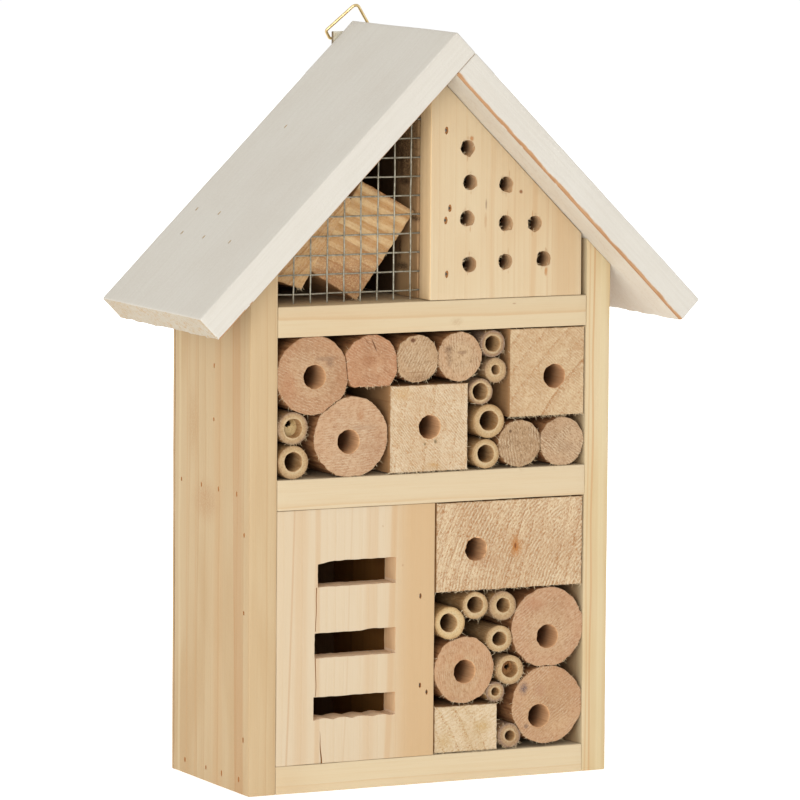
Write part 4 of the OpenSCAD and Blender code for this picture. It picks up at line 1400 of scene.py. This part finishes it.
low, high = place("hanger_plate")
plate_rear = low.y + PLATE_T
item = board("hanger-plate", rectangle(low, high), low.y, plate_rear, [plate_look, plate_edge_shade_look],
             0.3, 3.0, 0.02, 51.0, lambda centre, normal: 1 if normal.x < -0.6 else 0)
belongs(item, ["hanger_plate"])
shape = Shape()
loops = []
for x, r in ((-LUG_HALF, 1.55), (-LUG_HALF, 0.6), (LUG_HALF, 0.6), (LUG_HALF, 1.55)):
    loops.append(shape.loop([(PIVOT.x + x, PIVOT.y + r * math.cos(t), PIVOT.z + r * math.sin(t))
                             for t in np.linspace(0, 2 * math.pi, 32, endpoint=False)]))
for a, b in zip(loops, loops[1:] + loops[:1]):
    shape.bridge(a, b)
belongs(shape.build("hanger-knuckle", [plate_look], 40), [])
corners = ((-LUG_HALF, -1.5), (LUG_HALF, -1.5), (LUG_HALF, -0.5), (-LUG_HALF, -0.5))
item = board("hanger-web", [(PIVOT.x + x, PIVOT.z + z) for x, z in corners], plate_rear - 0.3, PIVOT.y,
             [plate_look], 0.15, 3.0, 0.0, 1.0)
belongs(item, [])

shape = Shape()
for head, into, length in rods("hanger_screws", (0, 1, 0)):
    path = [head, head + into * 0.25, head + into * 0.7, head + into * 1.2]
    shape.tube(path, lambda t: (1.5, 1.9, 2.0, 2.0)[round(t * 3)], 28)
    path = [head + into * 1.1, head + into * (length - 3), head + into * length]
    shape.tube(path, lambda t: 1.0 if t < 1 else 0.2, 12)
item = shape.build("hanger-screws", [steel_look])
# Cross recesses, one bar at a time because a cutter can't cross itself
for wide, tall in ((2.4, 0.45), (0.45, 2.4)):
    recess = Shape()
    for head, _, _ in rods("hanger_screws", (0, 1, 0)):
        rings = []
        for y, share in ((head.y + 0.5, 1.0), (head.y - 0.1, 1.0), (head.y - 0.75, 0.45)):
            rings.append(recess.loop([(head.x + share * a * wide / 2, y, head.z + share * b * tall / 2)
                                      for a, b in ((-1, -1), (1, -1), (1, 1), (-1, 1))]))
        recess.skin(rings)
    cut(item, recess)
belongs(item, ["hanger_screws"])

# Corners of the wire in its own plane, from the axis up, and how round each is
corners = [Vector(c) for c in ((-6.4, 0), (6.4, 0), (8.7, 3.2), (0, 14.5), (-8.7, 3.2))]
bends = (1, 1, 1.2, 1.5, 1.2)


def ring_path():
    """Centre line of the hanger wire in its own plane, with a joint in the middle of the base."""
    path = [Vector((0.05, 0))]
    n = len(corners)
    for i in range(1, n + 1):
        a, b, c = corners[(i - 1) % n], corners[i % n], corners[(i + 1) % n]
        into, away = (b - a).normalized(), (c - b).normalized()
        angle = math.acos(max(-1, min(1, into.dot(away))))
        radius = bends[i % n]
        begin = b - into * radius * math.tan(angle / 2)
        left_hand = Vector((-into.y, into.x))
        centre = begin + left_hand * radius
        for k in range(13):
            t = angle * k / 12
            path.append(centre - left_hand * radius * math.cos(t) + into * radius * math.sin(t))
    path.append(Vector((-0.05, 0)))
    return path


back = Matrix.Rotation(RING_LEAN, 3, "X") @ Matrix.Rotation(math.pi / 2, 3, "X")
shape = Shape()
path = [PIVOT + back @ Vector((p.x, p.y, 0)) for p in ring_path()]
shape.tube(path, lambda t: 0.53 if 0 < t < 1 else 0.5, 16)
item = shape.build("hanger-ring", [brass_look], 60)
belongs(item, ["hanger_ring"], "hanger")


# ---------------------------------------------------------------- studio


def studio():
    """White surroundings, a pale floor, and a soft key light from the front left."""
    world = bpy.data.worlds.new("studio")
    bpy.context.scene.world = world
    world.use_nodes = True
    sky = world.node_tree.nodes["Background"]
    sky.inputs["Color"].default_value = (1, 1, 1, 1)
    sky.inputs["Strength"].default_value = 1.02
    floor_look = Look("studio floor", 0.9, 0.0)
    mottle = floor_look.noise(floor_look.space(0.002), 2.0)
    floor_look.finish(floor_look.mix(mottle, (0.96, 0.96, 0.96, 1), (0.94, 0.94, 0.94, 1)))
    floor_look.surface.inputs["Emission Color"].default_value = (1, 1, 1, 1)
    # The floor glows a little, so that it stays pale under the house
    floor_look.surface.inputs["Emission Strength"].default_value = 0.58
    floor = Shape()
    radius, height = 4000, -0.15
    ring = floor.loop([(radius * math.cos(t), radius * math.sin(t), height)
                       for t in np.linspace(0, 2 * math.pi, 64, endpoint=False)])
    floor.fan(ring, Vector((0, 0, height)))
    item = floor.build("floor", [floor_look.material])
    lamp = bpy.data.lights.new("key", "AREA")
    lamp.energy, lamp.size = 24.0, 0.9
    key = bpy.data.objects.new("key", lamp)
    key.location = (-1.3, -1.65, 0.32)
    key.rotation_euler = (Vector((0, 0, 0.13)) - key.location).to_track_quat("-Z", "Y").to_euler()
    bpy.context.scene.collection.objects.link(key)


def camera():
    """Long lens from the front left, a little above, level with the middle of the house."""
    # Fitted to the photo's edges, in degrees and metres
    yaw, pitch, roll = (math.radians(a) for a in (26.445, 6.423, 0.445))
    aim = Vector((-0.012009, -0.0307555, 0.130052))
    ahead = Vector((math.sin(yaw) * math.cos(pitch), math.cos(yaw) * math.cos(pitch), -math.sin(pitch)))
    right = Vector((math.cos(yaw), -math.sin(yaw), 0))
    up = right.cross(ahead)
    side = right * math.cos(roll) + up * math.sin(roll)
    top = up * math.cos(roll) - right * math.sin(roll)
    data = bpy.data.cameras.new("camera")
    data.lens, data.sensor_width, data.clip_start, data.clip_end = 277.78, 36.0, 0.05, 20.0
    item = bpy.data.objects.new("camera", data)
    turn = Matrix((side, top, -ahead)).transposed().to_4x4()
    distance = 2.054399
    item.matrix_world = Matrix.Translation(aim - ahead * distance) @ turn
    bpy.context.scene.collection.objects.link(item)
    bpy.context.scene.camera = item


studio()
camera()
bpy.context.scene.view_settings.view_transform = "Standard"
